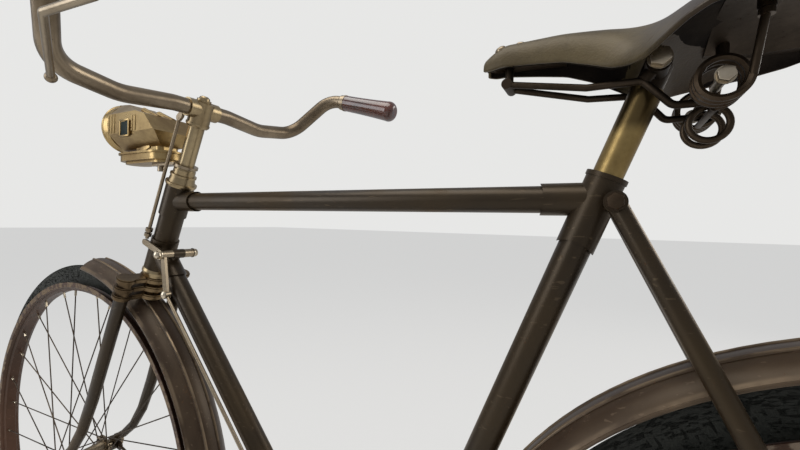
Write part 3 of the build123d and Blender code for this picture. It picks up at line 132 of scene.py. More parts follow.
class Finish:
    """One material, kept by its name in finishes."""

    def __init__(self, name, **fixed):
        self.material = bpy.data.materials.new(name)
        self.material.use_nodes = True
        self.tree = self.material.node_tree
        self.tree.nodes.clear()
        self.shader = self.tree.nodes.new("ShaderNodeBsdfPrincipled")
        output = self.tree.nodes.new("ShaderNodeOutputMaterial")
        self.tree.links.new(self.shader.outputs[0], output.inputs[0])
        for socket, value in fixed.items():
            self.shader.inputs[socket.replace("_", " ")].default_value = value
        self.place = self.node("ShaderNodeTexCoord", {}, {}, "Object")
        split = self.node("ShaderNodeSeparateXYZ", {}, {0: self.place}).socket.node
        self.x, self.y, self.z = (Signal(self, split.outputs[index]) for index in range(3))
        finishes[name] = self.material

    def node(self, kind, settings, values, output=0):
        made = self.tree.nodes.new(kind)
        for name, value in settings.items():
            if name == "stops":
                while len(made.color_ramp.elements) < len(value):
                    made.color_ramp.elements.new(1.0)
                for stop, (position, colour) in zip(made.color_ramp.elements, value):
                    stop.position = position
                    stop.color = (*colour, 1)
            else:
                setattr(made, name, value)
        for name, value in values.items():
            self.feed(made.inputs[name], value)
        return Signal(self, made.outputs[output])

    def feed(self, socket, value):
        if isinstance(value, Signal):
            self.tree.links.new(value.socket, socket)
        elif hasattr(value, "__len__") and len(value) == 3 and len(socket.default_value) == 4:
            socket.default_value = (*value, 1)
        else:
            socket.default_value = value

    def grain(self, scale, detail=4.0, roughness=0.55, stretch=(1, 1, 1)):
        """Cloudy noise over the object, as many patches a metre as its scale."""
        place = self.place
        if stretch != (1, 1, 1):
            place = self.node("ShaderNodeMapping", {}, {"Vector": self.place, "Scale": stretch})
        values = {"Vector": place, "Scale": scale, "Detail": detail, "Roughness": roughness}
        return self.node("ShaderNodeTexNoise", {}, values)

    def cells(self, scale, feature, **more):
        """A net of cells over the object, read as this feature of it."""
        values = {"Vector": self.place, "Scale": scale, **more}
        return self.node("ShaderNodeTexVoronoi", {"feature": feature}, values)

    def ramp(self, factor, *stops):
        return self.node("ShaderNodeValToRGB", {"stops": stops}, {"Fac": factor})

    def blend(self, factor, first, second):
        made = self.node("ShaderNodeMix", {"data_type": "RGBA"}, {0: factor}).socket.node
        self.feed(made.inputs[6], first)
        self.feed(made.inputs[7], second)
        return Signal(self, made.outputs[2])

    def wear(self, **signals):
        """Feeds what varies over the surface to the shader."""
        for socket, signal in signals.items():
            self.feed(self.shader.inputs[socket.replace("_", " ")], signal)

    def colour_so_far(self):
        return Signal(self, self.shader.inputs["Base Color"].links[0].from_socket)

    def relief(self, height, depth):
        """Raises the surface by a height signal of this depth in metres."""
        bump = self.node("ShaderNodeBump", {}, {"Height": height, "Distance": depth, "Strength": 1.0})
        self.feed(self.shader.inputs["Normal"], bump)


# %% [markdown]
# The tubes were dipped in black enamel that has gone brown with age. It has thinned to olive bronze where
# hands and clips rubbed, and rust creeps in as fine freckles. A painted picture could show that, but it
# would stretch at every joint. Noise that reads the object's own coordinates has no seams: clouds and
# streaks make the fading, patches and specks the rust, and long thin noise the scratches.

# %% Enamel of the frame
# dark tone, faded tone, rust tone, how far the rust spreads, roughness where it still shines
enamels = {
    "aged_enamel": ((0.009, 0.006, 0.004), (0.040, 0.027, 0.014), (0.052, 0.024, 0.011), 0.0, 0.30),
    "mudguard_enamel": ((0.024, 0.014, 0.009), (0.060, 0.040, 0.025), (0.075, 0.036, 0.018), 0.0, 0.36),
    "rim_enamel": ((0.030, 0.013, 0.009), (0.068, 0.032, 0.021), (0.085, 0.038, 0.018), 0.01, 0.38),
}
warm_shine = (0.95, 0.74, 0.50, 1)


def enamel(name):
    dark, faded, rust, spread, shine = enamels[name]
    coat = Finish(name, Coat_Roughness=0.34, IOR=1.42, Specular_Tint=warm_shine)
    clouds = coat.grain(7.0, 4.0, 0.5)
    streaks = coat.grain(22.0, 4.0, 0.5, (1.0, 2.0, 1.0))
    specks = coat.grain(420.0, 3.0, 0.7)
    patches = coat.grain(46.0, 6.0, 0.65)
    fading = (clouds * 0.6 + streaks * 0.4).between(0.34, 0.70)
    freckles = (specks * 0.45 + patches * 0.55).between(0.60 - spread, 0.66 - spread * 0.8)
    colour = coat.blend(freckles, coat.blend(fading, dark, faded), rust)
    scratches = coat.grain(260.0, 2.0, 0.5, (0.12, 1.0, 1.0)).between(0.66, 0.7)
    bared = [channel * 1.8 + 0.01 for channel in faded]
    coat.wear(Base_Color=coat.blend(scratches * 0.5, colour, bared),
              Metallic=fading * 0.6 * (1 - freckles),
              Roughness=shine + fading * 0.12 + freckles * 0.3,
              Coat_Weight=0.16 - freckles * 0.14)
    coat.relief(specks * 0.5 + freckles * 0.8 + clouds, 0.12 * MM)
    return coat


enamel("aged_enamel")
print("enamel nodes", len(finishes["aged_enamel"].node_tree.nodes))

# %% [markdown]
# The mudguards are thin sheet in a warmer brown, and their two rolled beads are bright: a painted highlight along
# each bead, partly enamel rubbed through to the metal, and the same, weaker, near the edges. The beads could be
# cut out as pieces of their own. Here the sheet stays whole, and the object's own Y coordinate tells the bead from
# the channel, because it is the same all the way round the wheel.

# %% Enamel of the mudguards, with painted highlights and wear on the beads
guard_bead_y = 10.0 * MM
guard_edge_y = 28.4 * MM
guards = enamel("mudguard_enamel")
off_bead = abs(abs(guards.y) - guard_bead_y)
off_edge = abs(abs(guards.y) - guard_edge_y)
# Bright bead and edge: a painted highlight along the ridges, partly enamel rubbed through to the metal.
bead_highlight_and_wear = 1 - off_bead.between(0.9 * MM, 2.3 * MM)
edge_highlight_and_wear = (1 - off_edge.between(0.8 * MM, 2.6 * MM)) * 0.45
in_places = guards.grain(26.0, 3.0, 0.5).between(0.26, 0.60)
bright = ((bead_highlight_and_wear + edge_highlight_and_wear) * in_places).between(0.0, 1.0)
guards.wear(Base_Color=guards.blend(bright, guards.colour_so_far(), (0.27, 0.20, 0.13)),
            Metallic=bright * 0.9, Roughness=0.42 - bright * 0.12)
print("beads rubbed at", guard_bead_y, "and", guard_edge_y)

# %% [markdown]
# The rims carry a dark red-brown paint. Near the lip a band of dull steel is painted: partly a painted highlight
# along the rim's edge, partly paint that blocks and levers scraped off. The wheel turns round Y, so a band of that
# coordinate follows the lip on both sides, and a noise breaks the band up, since real scraping is never even.

# %% Enamel of the rims
rim_lip_y = 16.5 * MM
rims = enamel("rim_enamel")
lip = abs(rims.y).between(rim_lip_y - 1.6 * MM, rim_lip_y - 0.3 * MM)
# The steel band at the lip is a painted highlight along the rim's edge, partly scraped paint.
lip_highlight_and_scrapes = (lip * rims.grain(55.0, 5.0, 0.7).between(0.38, 0.62)).between(0.1, 0.9)
rims.wear(Base_Color=rims.blend(lip_highlight_and_scrapes, rims.colour_so_far(), (0.20, 0.155, 0.115)),
          Metallic=lip_highlight_and_scrapes * 0.85)
print("rims scraped from", round(rim_lip_y - 1.6 * MM, 4))

# %% [markdown]
# Nickel, brass and bare steel age in the same way: a clean tone, a tarnished one that spreads in clouds, and
# small dark pits. Each metal could be a material built by hand. One recipe with a table of tones and
# amounts keeps them related, as they are on a machine that stood in one room all its life.

# %% Metals
# clean tone, tarnished tone, dark spots, where tarnish and spots set in, roughness, what tarnish adds to it
metals = {
    "worn_nickel": ((0.33, 0.27, 0.19), (0.185, 0.14, 0.092), (0.085, 0.055, 0.032),
                    0.50, 0.64, 0.30, 0.12),
    "aged_brass": ((0.47, 0.34, 0.155), (0.205, 0.135, 0.058), (0.08, 0.05, 0.022),
                   0.48, 0.62, 0.25, 0.16),
    "dark_steel": ((0.085, 0.064, 0.044), (0.045, 0.031, 0.02), (0.055, 0.026, 0.013),
                   0.48, 0.60, 0.38, 0.16),
    "yellowed_nickel": ((0.4, 0.315, 0.185), (0.225, 0.165, 0.092), (0.09, 0.058, 0.03),
                        0.50, 0.64, 0.28, 0.12),
    "rubbed_crown": ((0.225, 0.16, 0.088), (0.088, 0.06, 0.034), (0.035, 0.022, 0.014),
                     0.47, 0.60, 0.28, 0.14),
    "handled_nickel": ((0.265, 0.212, 0.148), (0.14, 0.106, 0.07), (0.065, 0.042, 0.026),
                       0.48, 0.62, 0.3, 0.12),
    # The saddle's frame: steel darker than dark_steel, painted shade under the saddle.
    "shaded_saddle_steel": ((0.05, 0.037, 0.026), (0.026, 0.019, 0.013), (0.034, 0.017, 0.009),
                     0.48, 0.6, 0.42, 0.16),
    "post_brass": ((0.42, 0.30, 0.12), (0.20, 0.135, 0.052), (0.07, 0.045, 0.02),
                   0.50, 0.64, 0.28, 0.14),
    "bright_screw": ((0.56, 0.49, 0.38), (0.31, 0.25, 0.17), (0.11, 0.07, 0.04),
                     0.54, 0.66, 0.24, 0.12),
}


def metal(name):
    clean, tarnish, spots, tarnish_from, spots_from, shine, rough = metals[name]
    plate = Finish(name, Metallic=1.0, IOR=1.8)
    clouds = plate.grain(16.0, 4.0, 0.5)
    fine = plate.grain(190.0, 5.0, 0.65)
    pits = plate.grain(620.0, 2.0, 0.5)
    aged = (clouds * 0.8 + fine * 0.2).between(tarnish_from - 0.16, tarnish_from + 0.22)
    marks = (fine * 0.6 + pits * 0.4).between(spots_from, spots_from + 0.09)
    plate.wear(Base_Color=plate.blend(marks, plate.blend(aged, clean, tarnish), spots),
               Roughness=shine + aged * rough + marks * 0.3)
    plate.relief(fine * 0.4 - marks * 0.8 + pits * 0.3, 0.06 * MM)
    return plate


plates = {name: metal(name) for name in metals}
print("metals", sorted(plates))

# %% [markdown]
# The seat post is brass, and its top under the saddle is darkened: painted shade from the saddle above it. A
# second material could be given to that stretch, but its edge would show. A soft step along the object's Z fades
# one tone into the other.

# %% Painted shade on the top of the seat post
saddle_shade_start = -104 * MM
saddle_shade_full = -92 * MM
post = plates["post_brass"]
saddle_shade_mask = post.z.between(saddle_shade_start, saddle_shade_full)
# Painted shade: the top of the post turns dark brown under the saddle.
post.wear(Base_Color=post.blend(saddle_shade_mask * 0.8, post.colour_so_far(), (0.060, 0.040, 0.018)))
print("seat post darkens between", saddle_shade_start, "and", saddle_shade_full)

# %% [markdown]
# The turned grips are polished and look deep into a red-brown marbled plastic. A glassy layer could be
# modelled over them. A strong clear coat on the same surface gives that depth for nothing, with the
# hairline scratches in the roughness and the relief.

# %% Celluloid of the grips
grip = Finish("grip_celluloid", Coat_Weight=0.9, Coat_Roughness=0.06, IOR=1.52)
marbling = grip.grain(60.0, 6.0, 0.7, (0.3, 1, 1))
hairlines = grip.grain(500.0, 2.0, 0.5, (0.08, 1, 1)).between(0.55, 0.7)
grip.wear(Base_Color=grip.ramp(marbling, (0.35, (0.030, 0.007, 0.004)), (0.62, (0.105, 0.026, 0.012))),
          Roughness=0.22 + hairlines * 0.2)
grip.relief(hairlines * -1.0 + marbling * 0.3, 0.04 * MM)
print("grip nodes", len(grip.tree.nodes))

# %% [markdown]
# Old rubber is grey with dust in its pores and crazed by fine cracks. Modelled cracks would cost far too
# many faces for something finer than a hair, so a net of cells gives them: the distance to a cell's edge is
# small only along the cracks.


# %% Rubber of tyres and pedals
def rubber(name, dark, dusty, roughness):
    skin = Finish(name, IOR=1.45)
    dust = skin.grain(34.0, 6.0, 0.65)
    pores = skin.grain(700.0, 3.0, 0.6)
    cracks = 1 - skin.cells(330.0, "DISTANCE_TO_EDGE").between(0.0, 0.06)
    settled = (dust * 0.7 + pores * 0.3).between(0.32, 0.72)
    shade = [channel * 0.6 for channel in dark]
    skin.wear(Base_Color=skin.blend(cracks * 0.10, skin.blend(settled, dark, dusty), shade),
              Roughness=roughness + settled * 0.18)
    skin.relief(pores * 0.4 - cracks * 0.2, 0.06 * MM)


rubber("tyre_rubber", (0.024, 0.026, 0.021), (0.040, 0.042, 0.033), 0.56)
rubber("pedal_rubber", (0.018, 0.017, 0.015), (0.055, 0.048, 0.04), 0.5)
print("rubbers", [name for name in finishes if name.endswith("rubber")])

# %% [markdown]
# The lamp's front glass is clear with a yellow film of age. Its side windows are so dark that they read as slots,
# so they are nearly black and give back little light: their colour is painted shade that stands for the dark
# inside of the lamp. A real pane with an unlit lamp behind it looks the same and would cost the render far more.

# %% Glass of the lamp
glass = Finish("lens_glass", Transmission_Weight=1.0, IOR=1.5)
film = glass.grain(30.0, 5.0, 0.6)
glass.wear(Base_Color=glass.blend(film, (0.93, 0.95, 0.90), (0.80, 0.80, 0.68)), Roughness=0.03 + film * 0.1)
window = Finish("shaded_window_glass", IOR=1.45, Specular_IOR_Level=0.12)
depth = window.grain(40.0, 3.0, 0.5)
# Painted shade: the pane's near-black tones stand for the dark inside of the lamp.
window.wear(Base_Color=window.blend(depth, (0.004, 0.010, 0.009), (0.010, 0.022, 0.018)),
            Roughness=0.34 + depth * 0.1)
print("glasses", [name for name in finishes if name.endswith("glass")])

# %% [markdown]
# The hide is dark and polished on top, lighter and olive brown towards the nose, and creased where it stretches
# between nose and cantle, with painted shade darkening the creases. Sculpted pores would be lost at this size. The
# pebbled grain comes from a net of soft cells, the creases from a stretched noise, and the light nose from the
# object's own X.

# %% Saddle hide
hide = Finish("saddle_hide", Coat_Roughness=0.35, IOR=1.38, Specular_Tint=(0.95, 0.76, 0.52, 1))
pebbles = hide.cells(520.0, "SMOOTH_F1", Smoothness=0.6)
creases = hide.grain(34.0, 4.0, 0.6, (2.2, 0.8, 0.8)).between(0.62, 0.80)
clouds = hide.grain(26.0, 6.0, 0.6)
scuffs = hide.grain(90.0, 4.0, 0.6, (0.35, 1.0, 1.0)).between(0.62, 0.76)
lighter_towards_nose = (hide.x + clouds * 0.02).between(35 * MM, 75 * MM)
dark_tone = hide.blend(clouds.between(0.34, 0.68), (0.017, 0.011, 0.008), (0.036, 0.025, 0.017))
nose_tone = hide.blend(clouds.between(0.30, 0.70), (0.048, 0.036, 0.018), (0.086, 0.067, 0.034))
scuffed = hide.blend(scuffs * 0.22, hide.blend(lighter_towards_nose, dark_tone, nose_tone), (0.13, 0.100, 0.062))
# Painted shade: the creases are blended towards a darker brown.
hide.wear(Base_Color=hide.blend(creases * 0.35, scuffed, (0.014, 0.010, 0.007)),
          Roughness=0.40 + clouds * 0.14 + scuffs * 0.12, Coat_Weight=0.14 - scuffs * 0.12)
hide.relief(pebbles * 0.35 - creases * 0.3 + clouds * 0.4, 0.5 * MM)
print("hide nodes", len(hide.tree.nodes))

# %% [markdown]
# The flesh side of the hide is raw and rough, and its near-black tone is painted shade under the saddle. It could
# share the top's material and be darkened, but it has a coarse nap and nothing on it shines, so it is a short
# recipe of its own.

# %% Flesh side of the hide, in painted shade
flesh = Finish("hide_flesh_side", IOR=1.4, Specular_IOR_Level=0.15)
nap = flesh.grain(240.0, 5.0, 0.7, (1.0, 0.5, 1.0))
shade_patches = flesh.grain(22.0, 4.0, 0.55).between(0.34, 0.68)
# Painted shade: both tones are near black, and noise shifts between them.
flesh.wear(Base_Color=flesh.blend(shade_patches, (0.007, 0.005, 0.004), (0.019, 0.014, 0.010)),
           Roughness=0.74 + nap * 0.2)
flesh.relief(nap, 0.4 * MM)
print("finishes", sorted(finishes))

# %% [markdown]
# The construction's nodes keep their meshes and only take a finish. The record says which slot each node belongs
# to, so one loop dresses them all. A few pieces take a finish other than that of their slot, such as the seat
# post, whose top carries painted shade under its saddle, and the saddle's frame, whose darker steel is painted
# shade, and a short list names the finish of each.

# %% Dress the frame's own nodes
slots = {part["node"]: part["material_slot"] for part in frame["record"]["subparts"]}
own_finish = {
    "headset": "yellowed_nickel",
    "stem": "yellowed_nickel",
    "seat_post": "post_brass",
    "fork_crown": "rubbed_crown",
    "handlebar": "handled_nickel",
    "saddle_frame": "shaded_saddle_steel",
}
for name, node in nodes.items():
    node.material_slots[0].link = "OBJECT"
    node.material_slots[0].material = finishes[own_finish.get(name, slots[name])]
print("dressed", len(nodes), "nodes")

# %% [markdown]
# Every new piece ends the same way: its mesh is in place, its object sits at the origin, it rides on a
# body, and it says which finish it takes. It could be shaded flat or smooth as a whole. Marking only the
# edges that are sharper than an angle keeps corners crisp and rounds smooth.


# %% Finish a piece
def piece(name, shape, finish, body, sharp=35.0, replaces=()):
    bmesh.ops.recalc_face_normals(shape, faces=shape.faces)
    mesh = bpy.data.meshes.new(name)
    shape.to_mesh(mesh)
    shape.free()
    mesh.materials.append(finishes[finish])
    mesh.polygons.foreach_set("use_smooth", [True] * len(mesh.polygons))
    mesh.set_sharp_from_angle(angle=math.radians(sharp))
    made = bpy.data.objects.new(name, mesh)
    bpy.context.collection.objects.link(made)
    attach(made, body)
    if replaces:
        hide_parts(*replaces)
    print(name, len(mesh.polygons), "faces")
    return made


# %% [markdown]
# Fasteners and trim are turned on a lathe, sawn from bar or folded from strip. Three helpers do the same:
# one spins a profile about a line, one stands a flat-sided bar on a point, and one makes a bar with rounded
# edges. They add to a bmesh that exists, so that many small things become one piece.


# %% Lathe, bar and strip
lathe_steps = 24


def along(start, direction, turn=0.0):
    """A place whose own Z runs along a direction."""
    facing = Vector(direction).normalized().to_track_quat("Z", "Y").to_matrix().to_4x4()
    return Matrix.Translation(Vector(start)) @ facing @ Matrix.Rotation(math.radians(turn), 4, "Z")


def edges_of(vertices):
    return list({edge for vertex in vertices for edge in vertex.link_edges})


def turned(shape, start, direction, rings, segments=lathe_steps):
    """Turns a profile of (height, radius) rings in millimetres about a line, as on a lathe."""
    place = along(start, direction)
    edges = []
    before = None
    for height, radius in rings:
        vertex = shape.verts.new(place @ Vector((radius * MM, 0, height * MM)))
        if before is not None:
            edges.append(shape.edges.new((before, vertex)))
        before = vertex
    axis = place.to_3x3() @ Vector((0, 0, 1))
    bmesh.ops.spin(shape, geom=edges, cent=place.translation, axis=axis, angle=math.tau, steps=segments,
                   use_merge=True)
    bmesh.ops.remove_doubles(shape, verts=shape.verts, dist=1e-6)


def prism(shape, start, direction, radius, height, sides=6, turn=0.0, bevel=0.0):
    """Adds a closed bar with flat sides that stands on a point."""
    place = along(Vector(start) + Vector(direction).normalized() * height / 2, direction, turn)
    made = bmesh.ops.create_cone(shape, cap_ends=True, segments=sides, radius1=radius, radius2=radius,
                                 depth=height, matrix=place)
    if bevel:
        bmesh.ops.bevel(shape, geom=edges_of(made["verts"]), offset=bevel, affect="EDGES", segments=2,
                        profile=0.5, material=-1)


def strip(shape, place, size, bevel):
    """Adds a closed box of a size in millimetres with rounded edges."""
    matrix = place @ Matrix.Diagonal((*(length * MM for length in size), 1))
    made = bmesh.ops.create_cube(shape, size=1.0, matrix=matrix)
    bmesh.ops.bevel(shape, geom=edges_of(made["verts"]), offset=bevel * MM, affect="EDGES", segments=2,
                    profile=0.5, material=-1)


print("a full turn on the lathe has", lathe_steps, "steps")

# %% [markdown]
# A tyre is a round section swept about the hub. Its tread could be a relief in the material, but then the
# outline would stay smooth. It is cut in after the spin: a vertex sinks where its column across the tread
# and its step round the wheel fall in a groove, so that every rib and block is a real shape.

# %% Tread pattern
tyre_crown = 19.0 * MM
wheel_radius = 355.5 * MM
tread_steps = 300
section_points = 64
tread_columns = 12
# columns counted from the crown, which of every four steps is cut (None is all), depth in millimetres
# (below 0 is a raised line)
tread_cuts = (
    ((2, 5, 8), None, 0.7),
    ((6, 7), 0, 0.5),
    ((9, 10), 2, 0.45),
    ((15, 17), None, -0.25),
)


def tread_depth(column, step):
    """How deep the tyre is cut here, and how far its skin lies inside the plain tyre."""
    skin = 0.25 if column < tread_columns else 0.3
    for columns, turn, depth in tread_cuts:
        if column in columns and turn in (None, step % 4):
            return (depth + skin) * MM
    return skin * MM


print("tread covers", tread_columns, "columns on each side of the crown")

# %% [markdown]
# The round section could be a torus ready made. Its points would then lie where the torus puts them, while
# the cut needs to know each vertex by its column and its step, so the circle is drawn and spun here.

# %% Tyres with tread
for wheel, centre in hubs.items():
    shape = bmesh.new()
    core_radius = wheel_radius - tyre_crown
    section_place = Matrix.Translation(centre + Vector((core_radius, 0, 0)))
    circle = bmesh.ops.create_circle(shape, segments=section_points, radius=tyre_crown,
                                     matrix=section_place @ Matrix.Rotation(math.pi / 2, 4, "X"))
    bmesh.ops.spin(shape, geom=edges_of(circle["verts"]), cent=centre, axis=(0, 1, 0), angle=math.tau,
                   steps=tread_steps, use_merge=True)
    for vertex in shape.verts:
        out = Vector((vertex.co.x - centre.x, 0, vertex.co.z - centre.z))
        step = round(math.atan2(out.z, out.x) / math.tau * tread_steps)
        across = math.atan2(vertex.co.y, out.length - core_radius)
        column = round(abs(across) / math.tau * section_points)
        outward = (vertex.co - (centre + out.normalized() * core_radius)).normalized()
        vertex.co -= outward * tread_depth(column, step)
    piece(wheel + "_tyre_tread", shape, "tyre_rubber", wheel + "_wheel", 28.0, (wheel + "_tyre",))

# %% [markdown]
# The spokes of the frame are plain bars. Real ones are round wire with a head at the flange, cross each
# other, and end in a nipple at the rim. A curve with a bevel could draw them, but thin eight-sided bars
# along the same lines cost fewer faces, and all those of a wheel are joined in one mesh.

# %% Spokes, nipples and valves
rim_inner = 308.0 * MM
spoke_lean = 75.0
outside_flange = 1.2
inside_flange = -2.2
wire_radius = 1.0 * MM
# radius and height
spoke_head = (1.9 * MM, 3 * MM)
# degrees round the wheel from its front, downwards
valve_turn = 100.0
# spokes, flange's distance from the middle, flange's radius to the spoke holes
hub_rows = {"front": (32, 33.0, 18.5), "rear": (40, 32.0, 23.5)}
nipple = ((0, 0), (0, 1.5), (1, 1.9), (10.5, 1.9), (11, 2.6), (13, 2.6), (13, 0))
valve_profile = ((-1, 5), (2, 5), (2, 2.7), (26, 2.7), (26, 4), (31, 4), (32, 2.4), (36, 2.0), (36.5, 0))


def round_the_hub(centre, radius, degrees_down, y):
    turn = math.radians(degrees_down)
    return Vector((centre.x + radius * math.cos(turn), y, centre.z - radius * math.sin(turn)))


def spoke_ends(wheel, side, index):
    """Where a spoke leaves its flange and where it meets the rim: every other one leans the other way."""
    count, flange_y, hole_radius = hub_rows[wheel]
    rim_turn = (index + 0.25 * side) * 720 / count
    lean, lay = (spoke_lean, outside_flange) if index % 2 else (-spoke_lean, inside_flange)
    start = round_the_hub(hubs[wheel], hole_radius * MM, rim_turn + lean, side * (flange_y + lay) * MM)
    return start, round_the_hub(hubs[wheel], rim_inner + 1.5 * MM, rim_turn, side * 3 * MM)


for wheel, centre in hubs.items():
    wires = bmesh.new()
    caps = bmesh.new()
    for side in (1, -1):
        for index in range(hub_rows[wheel][0] // 2):
            start, end = spoke_ends(wheel, side, index)
            run = end - start
            prism(wires, start, run, wire_radius, run.length, 8)
            prism(wires, start - Vector((0, side * 1.5 * MM, 0)), (0, side, 0), *spoke_head, 8)
            turned(caps, end - run.normalized() * 12 * MM, run, nipple, 8)
    piece(wheel + "_round_spokes", wires, "dark_steel", wheel + "_wheel", 40.0, (wheel + "_spokes",))
    piece(wheel + "_nipples", caps, "bright_screw", wheel + "_wheel", 40.0)
    valve = bmesh.new()
    root = round_the_hub(centre, rim_inner + 1 * MM, valve_turn, 0)
    turned(valve, root, centre - root, valve_profile, 16)
    piece(wheel + "_valve", valve, "aged_brass", wheel + "_wheel")

# %% [markdown]
# The saddle top is one wet-formed hide. It could be lofted through sections, but a grid that is pulled
# to shape keeps even quads: each row is a station behind the nose, and each column runs from the left flap
# over the crown to the right flap.

# %% Measures of the saddle
# behind the nose, half width, top, lower edge, and how straight the slope runs: 0 is a round, 1 a tent
saddle_stations = (
    (0, 10, -22, -33, 0.0),
    (8, 14, -16, -34, 0.0),
    (20, 16.5, -9, -33, 0.0),
    (50, 19.5, -8, -36, 0.0),
    (74, 22, -8.5, -39, 0.0),
    (95, 25, -9, -46, 0.1),
    (111, 30, -9.5, -53, 0.3),
    (122, 40, -10, -56, 0.6),
    (131, 54, -9.5, -57, 0.85),
    (141, 80, -8.5, -54, 1.0),
    (150, 94, -6, -50, 0.9),
    (162, 101, -2.5, -45, 0.7),
    (187, 103, 0, -41, 0.45),
    (227, 102, 2.5, -36, 0.3),
    (255, 97, 2, -31, 0.25),
    (270, 88, -0.5, -28, 0.2),
    (285, 72, -5, -25, 0.2),
)
saddle_length = saddle_stations[-1][0]


def node_corners(name):
    """The lowest and the highest corner of a node."""
    return [Vector(corner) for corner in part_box(name)]


def station_at(behind):
    """The saddle's measures at a distance behind the nose, eased between its stations."""
    for first, second in zip(saddle_stations, saddle_stations[1:]):
        if behind <= second[0]:
            share = (behind - first[0]) / (second[0] - first[0])
            return [a + (b - a) * share for a, b in zip(first[1:], second[1:])]
    return saddle_stations[-1][1:]


saddle_nose = node_corners("saddle_leather")[1].x
print("saddle is", saddle_length, "mm long, its nose at", round(saddle_nose, 4))

# %% [markdown]
# A used saddle is never a clean form: the rider's weight leaves a hollow behind the middle and small dents
# all over. Both could be painted with a bump. They are put in the mesh, small as they are, because the
# outline against the light is where an old hide shows its age.

# %% Saddle hide as a formed sheet
hide_rows = 72
hide_columns = 56
roundness = 0.8
# depth, place behind the nose, reach before and behind that place
seat_hollow = (2.0, 175, 55)
dent_depth = 0.7
dent_grain = 0.03
smoothing_rounds = 3


def formed_sheet(inside):
    """The hide's face, or a face that lies this many millimetres inside it, facing up."""
    shape = bmesh.new()
    bmesh.ops.create_grid(shape, x_segments=hide_rows, y_segments=hide_columns, size=1.0)
    for vertex in shape.verts:
        behind = (1 - vertex.co.x) / 2 * saddle_length
        half, top, edge, tent = station_at(behind)
        reach = abs(vertex.co.y)
        quarter = reach * math.pi / 2
        outward = (half - inside) * (math.sin(quarter) ** roundness * (1 - tent) + reach * tent)
        fall = (1 - math.cos(quarter) ** roundness) * (1 - tent) + reach * tent
        z = top - inside + (edge - top + inside) * fall
        ripple = noise.noise(Vector((behind, vertex.co.y * half, 0)) * dent_grain)
        dent = ripple * dent_depth * (1 - reach ** 4)
        deep, middle, spread = seat_hollow
        sag = -deep * math.exp(-((behind - middle) / spread) ** 2) * (1 - reach ** 2)
        place = min(max(behind, inside), saddle_length - inside)
        y = outward if vertex.co.y > 0 else -outward
        vertex.co = Vector((saddle_nose / MM - place, y, z + dent + sag)) * MM
    bmesh.ops.recalc_face_normals(shape, faces=shape.faces)
    if sum(face.normal.z for face in shape.faces) < 0:
        bmesh.ops.reverse_faces(shape, faces=shape.faces)
    inner = [vertex for vertex in shape.verts if not vertex.is_boundary]
    for turn in range(smoothing_rounds):
        bmesh.ops.smooth_vert(shape, verts=inner, factor=0.5, use_axis_x=True, use_axis_y=True,
                              use_axis_z=True)
    return shape


print("grid of", hide_rows, "rows and", hide_columns, "columns")

# %% [markdown]
# The sheet gets its thickness from solidify and its soft edges from one subdivision. The flesh side is a
# second, thinner sheet just inside, since it is another surface with another finish: one mesh with two
# materials would need its faces sorted by hand.

# %% Hide and flesh side
hide_thickness = 4.0
flesh_gap = 0.2
flesh_thickness = 0.6
shape = formed_sheet(0.0)
bmesh.ops.solidify(shape, geom=shape.faces[:], thickness=hide_thickness * MM)
hide_piece = piece("saddle_hide_top", shape, "saddle_hide", "frame", 60.0, ("saddle_leather",))
soft_edges = hide_piece.modifiers.new("round edges", "SUBSURF")
soft_edges.levels = soft_edges.render_levels = 1
# The flesh side's near-black finish is painted shade under the saddle.
shape = formed_sheet(hide_thickness + flesh_gap)
bmesh.ops.solidify(shape, geom=shape.faces[:], thickness=flesh_thickness * MM)
piece("saddle_flesh_side", shape, "hide_flesh_side", "frame", 60.0)

# %% [markdown]
# Domed rivets hold the hide to its plates: nine in a bow along the cantle and three at the nose. Their
# heights could be worked out from the stations, but the hide is smoothed and sags. A ray cast straight down
# onto the finished surface finds the true spot and the way that the rivet leans.

# %% Saddle rivets
# all in millimetres, and places count from the nose backwards
cantle_row = 268
cantle_bow = 20
rivet_pitch = 19
nose_rivets = [(16, -7), (16, 7), (34, 0)]
rivet_dome = ((-2.5, 0), (-2.5, 5.2), (0.2, 5.2), (1.2, 4.2), (2.0, 2.4), (2.3, 0))
rivet_spots = [(cantle_row - cantle_bow * (turn / 4) ** 2, rivet_pitch * turn) for turn in range(-4, 5)]
rivets = bmesh.new()
bpy.context.view_layer.update()
hide_surface = hide_piece.evaluated_get(bpy.context.evaluated_depsgraph_get())
for behind, y in rivet_spots + nose_rivets:
    above = Vector((saddle_nose - behind * MM, y * MM, 0.1))
    hit, point, normal, face = hide_surface.ray_cast(above, Vector((0, 0, -1)))
    if hit:
        turned(rivets, point, normal, rivet_dome, 20)
piece("saddle_rivets", rivets, "worn_nickel", "frame", 50.0)

# %% [markdown]
# Hexagon nuts on washers sit over the plain round ends of both axles. A nut could be instanced at each
# place, but an instance is one more object for the export. The nuts of one body are joined in one mesh, and
# each is a bevelled prism on a turned washer.


# %% Nuts of the axles
def hex_nut(shape, spot, direction, radius, height, turn=0.0):
    """Adds a nut of a size in millimetres on its washer, facing along a direction."""
    prism(shape, spot, direction, radius * MM, height * MM, 6, turn, 0.35 * MM)
    washer = radius * 1.12
    turned(shape, spot, Vector(direction) * -1, ((-0.2, 0), (-0.2, washer), (1.1, washer), (1.1, 0)))


axle_nut_radius = 10.3
axle_nut_height = 9.2
# wheel, the body that holds its axle, how far out the axle's face is, how far the nut is turned
axle_nuts = (("rear", "frame", 65.0, 14.0), ("front", "steering", 55.5, 5.0))
for wheel, body, face, turn in axle_nuts:
    shape = bmesh.new()
    for side in (1, -1):
        spot = (hubs[wheel].x, side * face * MM, hubs[wheel].z)
        hex_nut(shape, spot, (0, side, 0), axle_nut_radius, axle_nut_height, turn)
    piece(body + "_nuts", shape, "worn_nickel", body, 30.0)

